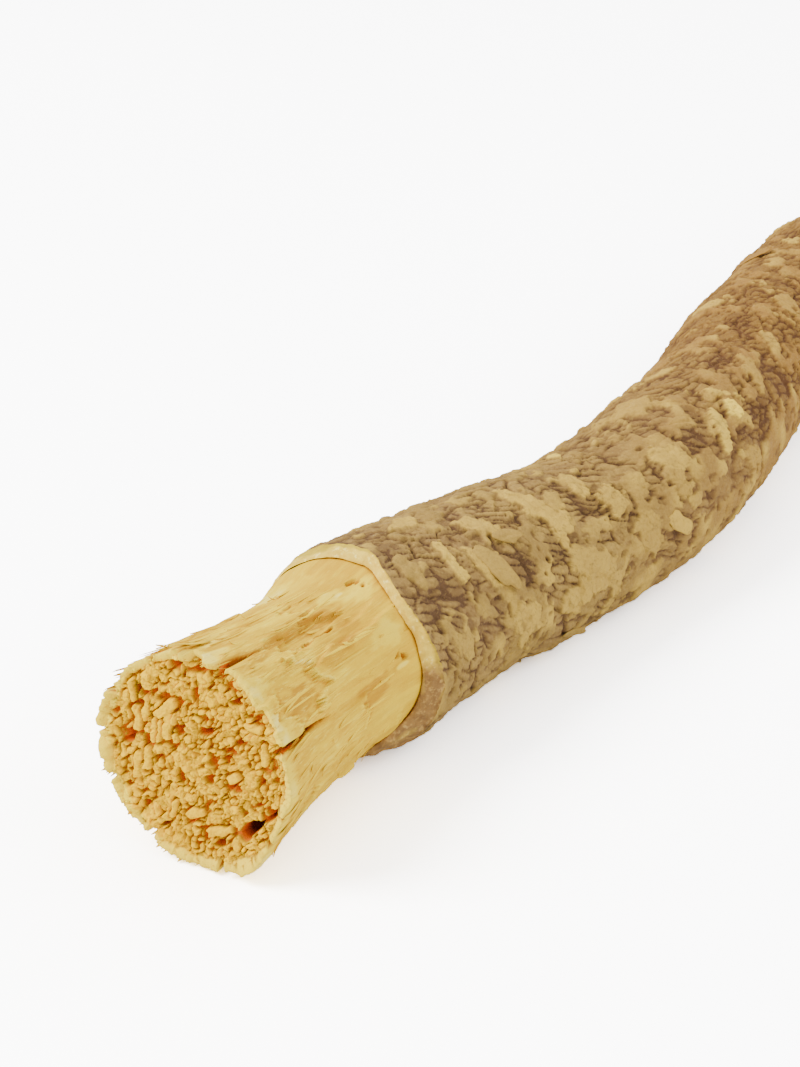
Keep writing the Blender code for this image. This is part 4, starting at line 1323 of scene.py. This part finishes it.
FOCAL_MM, SENSOR_MM = 71.74, 36.0  # for the picture's long side
CAMERA_HEADING, CAMERA_PITCH = 31.4, 23.52  # degrees from +X, and down
CAMERA_PLACE = (10.04, -91.23, 57.70)  # mm right of, behind and over the centreline's start
CAMERA_NEAREST = 0.005
FLOOR_SIZE = 4.0
FLOOR_LIT, FLOOR_SEEN = 0.85, 4.5  # what the floor throws back, and how bright the camera sees it
LIGHTS = (  # (name, place and size in metres, watts)
    ("key", (-0.4, 0.36, 0.5), 0.4, 6.4),
    ("fill", (0.1, -0.5, 0.4), 0.5, 1.4),
)
SKY = 1.3


def studio():
    """A white floor, a large soft light high on the left, a weaker one opposite, and the photo's camera."""
    bpy.ops.mesh.primitive_plane_add(size=FLOOR_SIZE)
    floor = bpy.context.object
    floor.name = "floor"
    white, t, _ = new_material("floor")
    seen = t.add("ShaderNodeLightPath", "Is Camera Ray")
    matt = t.add("ShaderNodeBsdfDiffuse", 0, Color=t.mix(seen, (FLOOR_LIT,) * 3, (FLOOR_SEEN,) * 3))
    t.feed(white.node_tree.nodes["Material Output"].inputs["Surface"], matt)
    floor.data.materials.append(white)

    turned = math.radians(CAMERA_HEADING)
    forward = Vector((math.cos(turned), math.sin(turned), 0))
    right = Vector((math.sin(turned), -math.cos(turned), 0))
    up = Vector((0, 0, 1))
    start = Vector((*START, 0))
    aside, ahead, over = CAMERA_PLACE
    lens = bpy.data.cameras.new("camera")
    lens.lens, lens.sensor_width, lens.clip_start = FOCAL_MM, SENSOR_MM, CAMERA_NEAREST
    camera = bpy.data.objects.new("camera", lens)
    bpy.context.scene.collection.objects.link(camera)
    camera.location = (start + right * aside + forward * ahead + up * over) * METRES_PER_MM
    look = forward * math.cos(math.radians(CAMERA_PITCH)) - up * math.sin(math.radians(CAMERA_PITCH))
    camera.rotation_euler = look.to_track_quat("-Z", "Y").to_euler()
    bpy.context.scene.camera = camera

    for name, place, size, energy in LIGHTS:
        light = bpy.data.lights.new(name, "AREA")
        light.shape, light.size, light.energy = "DISK", size, energy
        lamp = bpy.data.objects.new(name, light)
        bpy.context.scene.collection.objects.link(lamp)
        lamp.location = place
        lamp.rotation_euler = (-Vector(place)).to_track_quat("-Z", "Y").to_euler()
    world = bpy.data.worlds.new("studio")
    world.use_nodes = True
    world.node_tree.nodes["Background"].inputs["Color"].default_value = (1, 1, 1, 1)
    world.node_tree.nodes["Background"].inputs["Strength"].default_value = SKY
    bpy.context.scene.world = world


def main():
    mottle, streak = mottle_group(), streak_group()
    bark_finish, cut_finish = bark_material(mottle), collar_material(mottle)
    side_finish, face_finish = side_material(mottle, streak), face_material(mottle)
    bark_pieces = [*bark(bark_finish), bark_flakes(bark_finish)]
    bark_pieces += [collar_cut(cut_finish), bark_end(cut_finish)]
    wood_pieces = [wood_side(side_finish), rim_splinters(side_finish), side_fibres(side_finish)]
    wood_pieces += [fibre_bundles(face_finish), cut_end(end_material(mottle))]
    for node, made in (("bark", bark_pieces), ("wood", wood_pieces)):
        for one in made:
            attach(one, "root")
            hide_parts(node)
    studio()


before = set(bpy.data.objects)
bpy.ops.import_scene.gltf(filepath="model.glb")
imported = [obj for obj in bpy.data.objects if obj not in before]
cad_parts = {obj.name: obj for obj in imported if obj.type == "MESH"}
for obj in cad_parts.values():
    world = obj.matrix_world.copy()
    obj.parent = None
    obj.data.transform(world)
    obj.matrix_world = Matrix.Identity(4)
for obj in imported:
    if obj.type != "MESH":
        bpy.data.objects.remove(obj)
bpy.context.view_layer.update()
main()
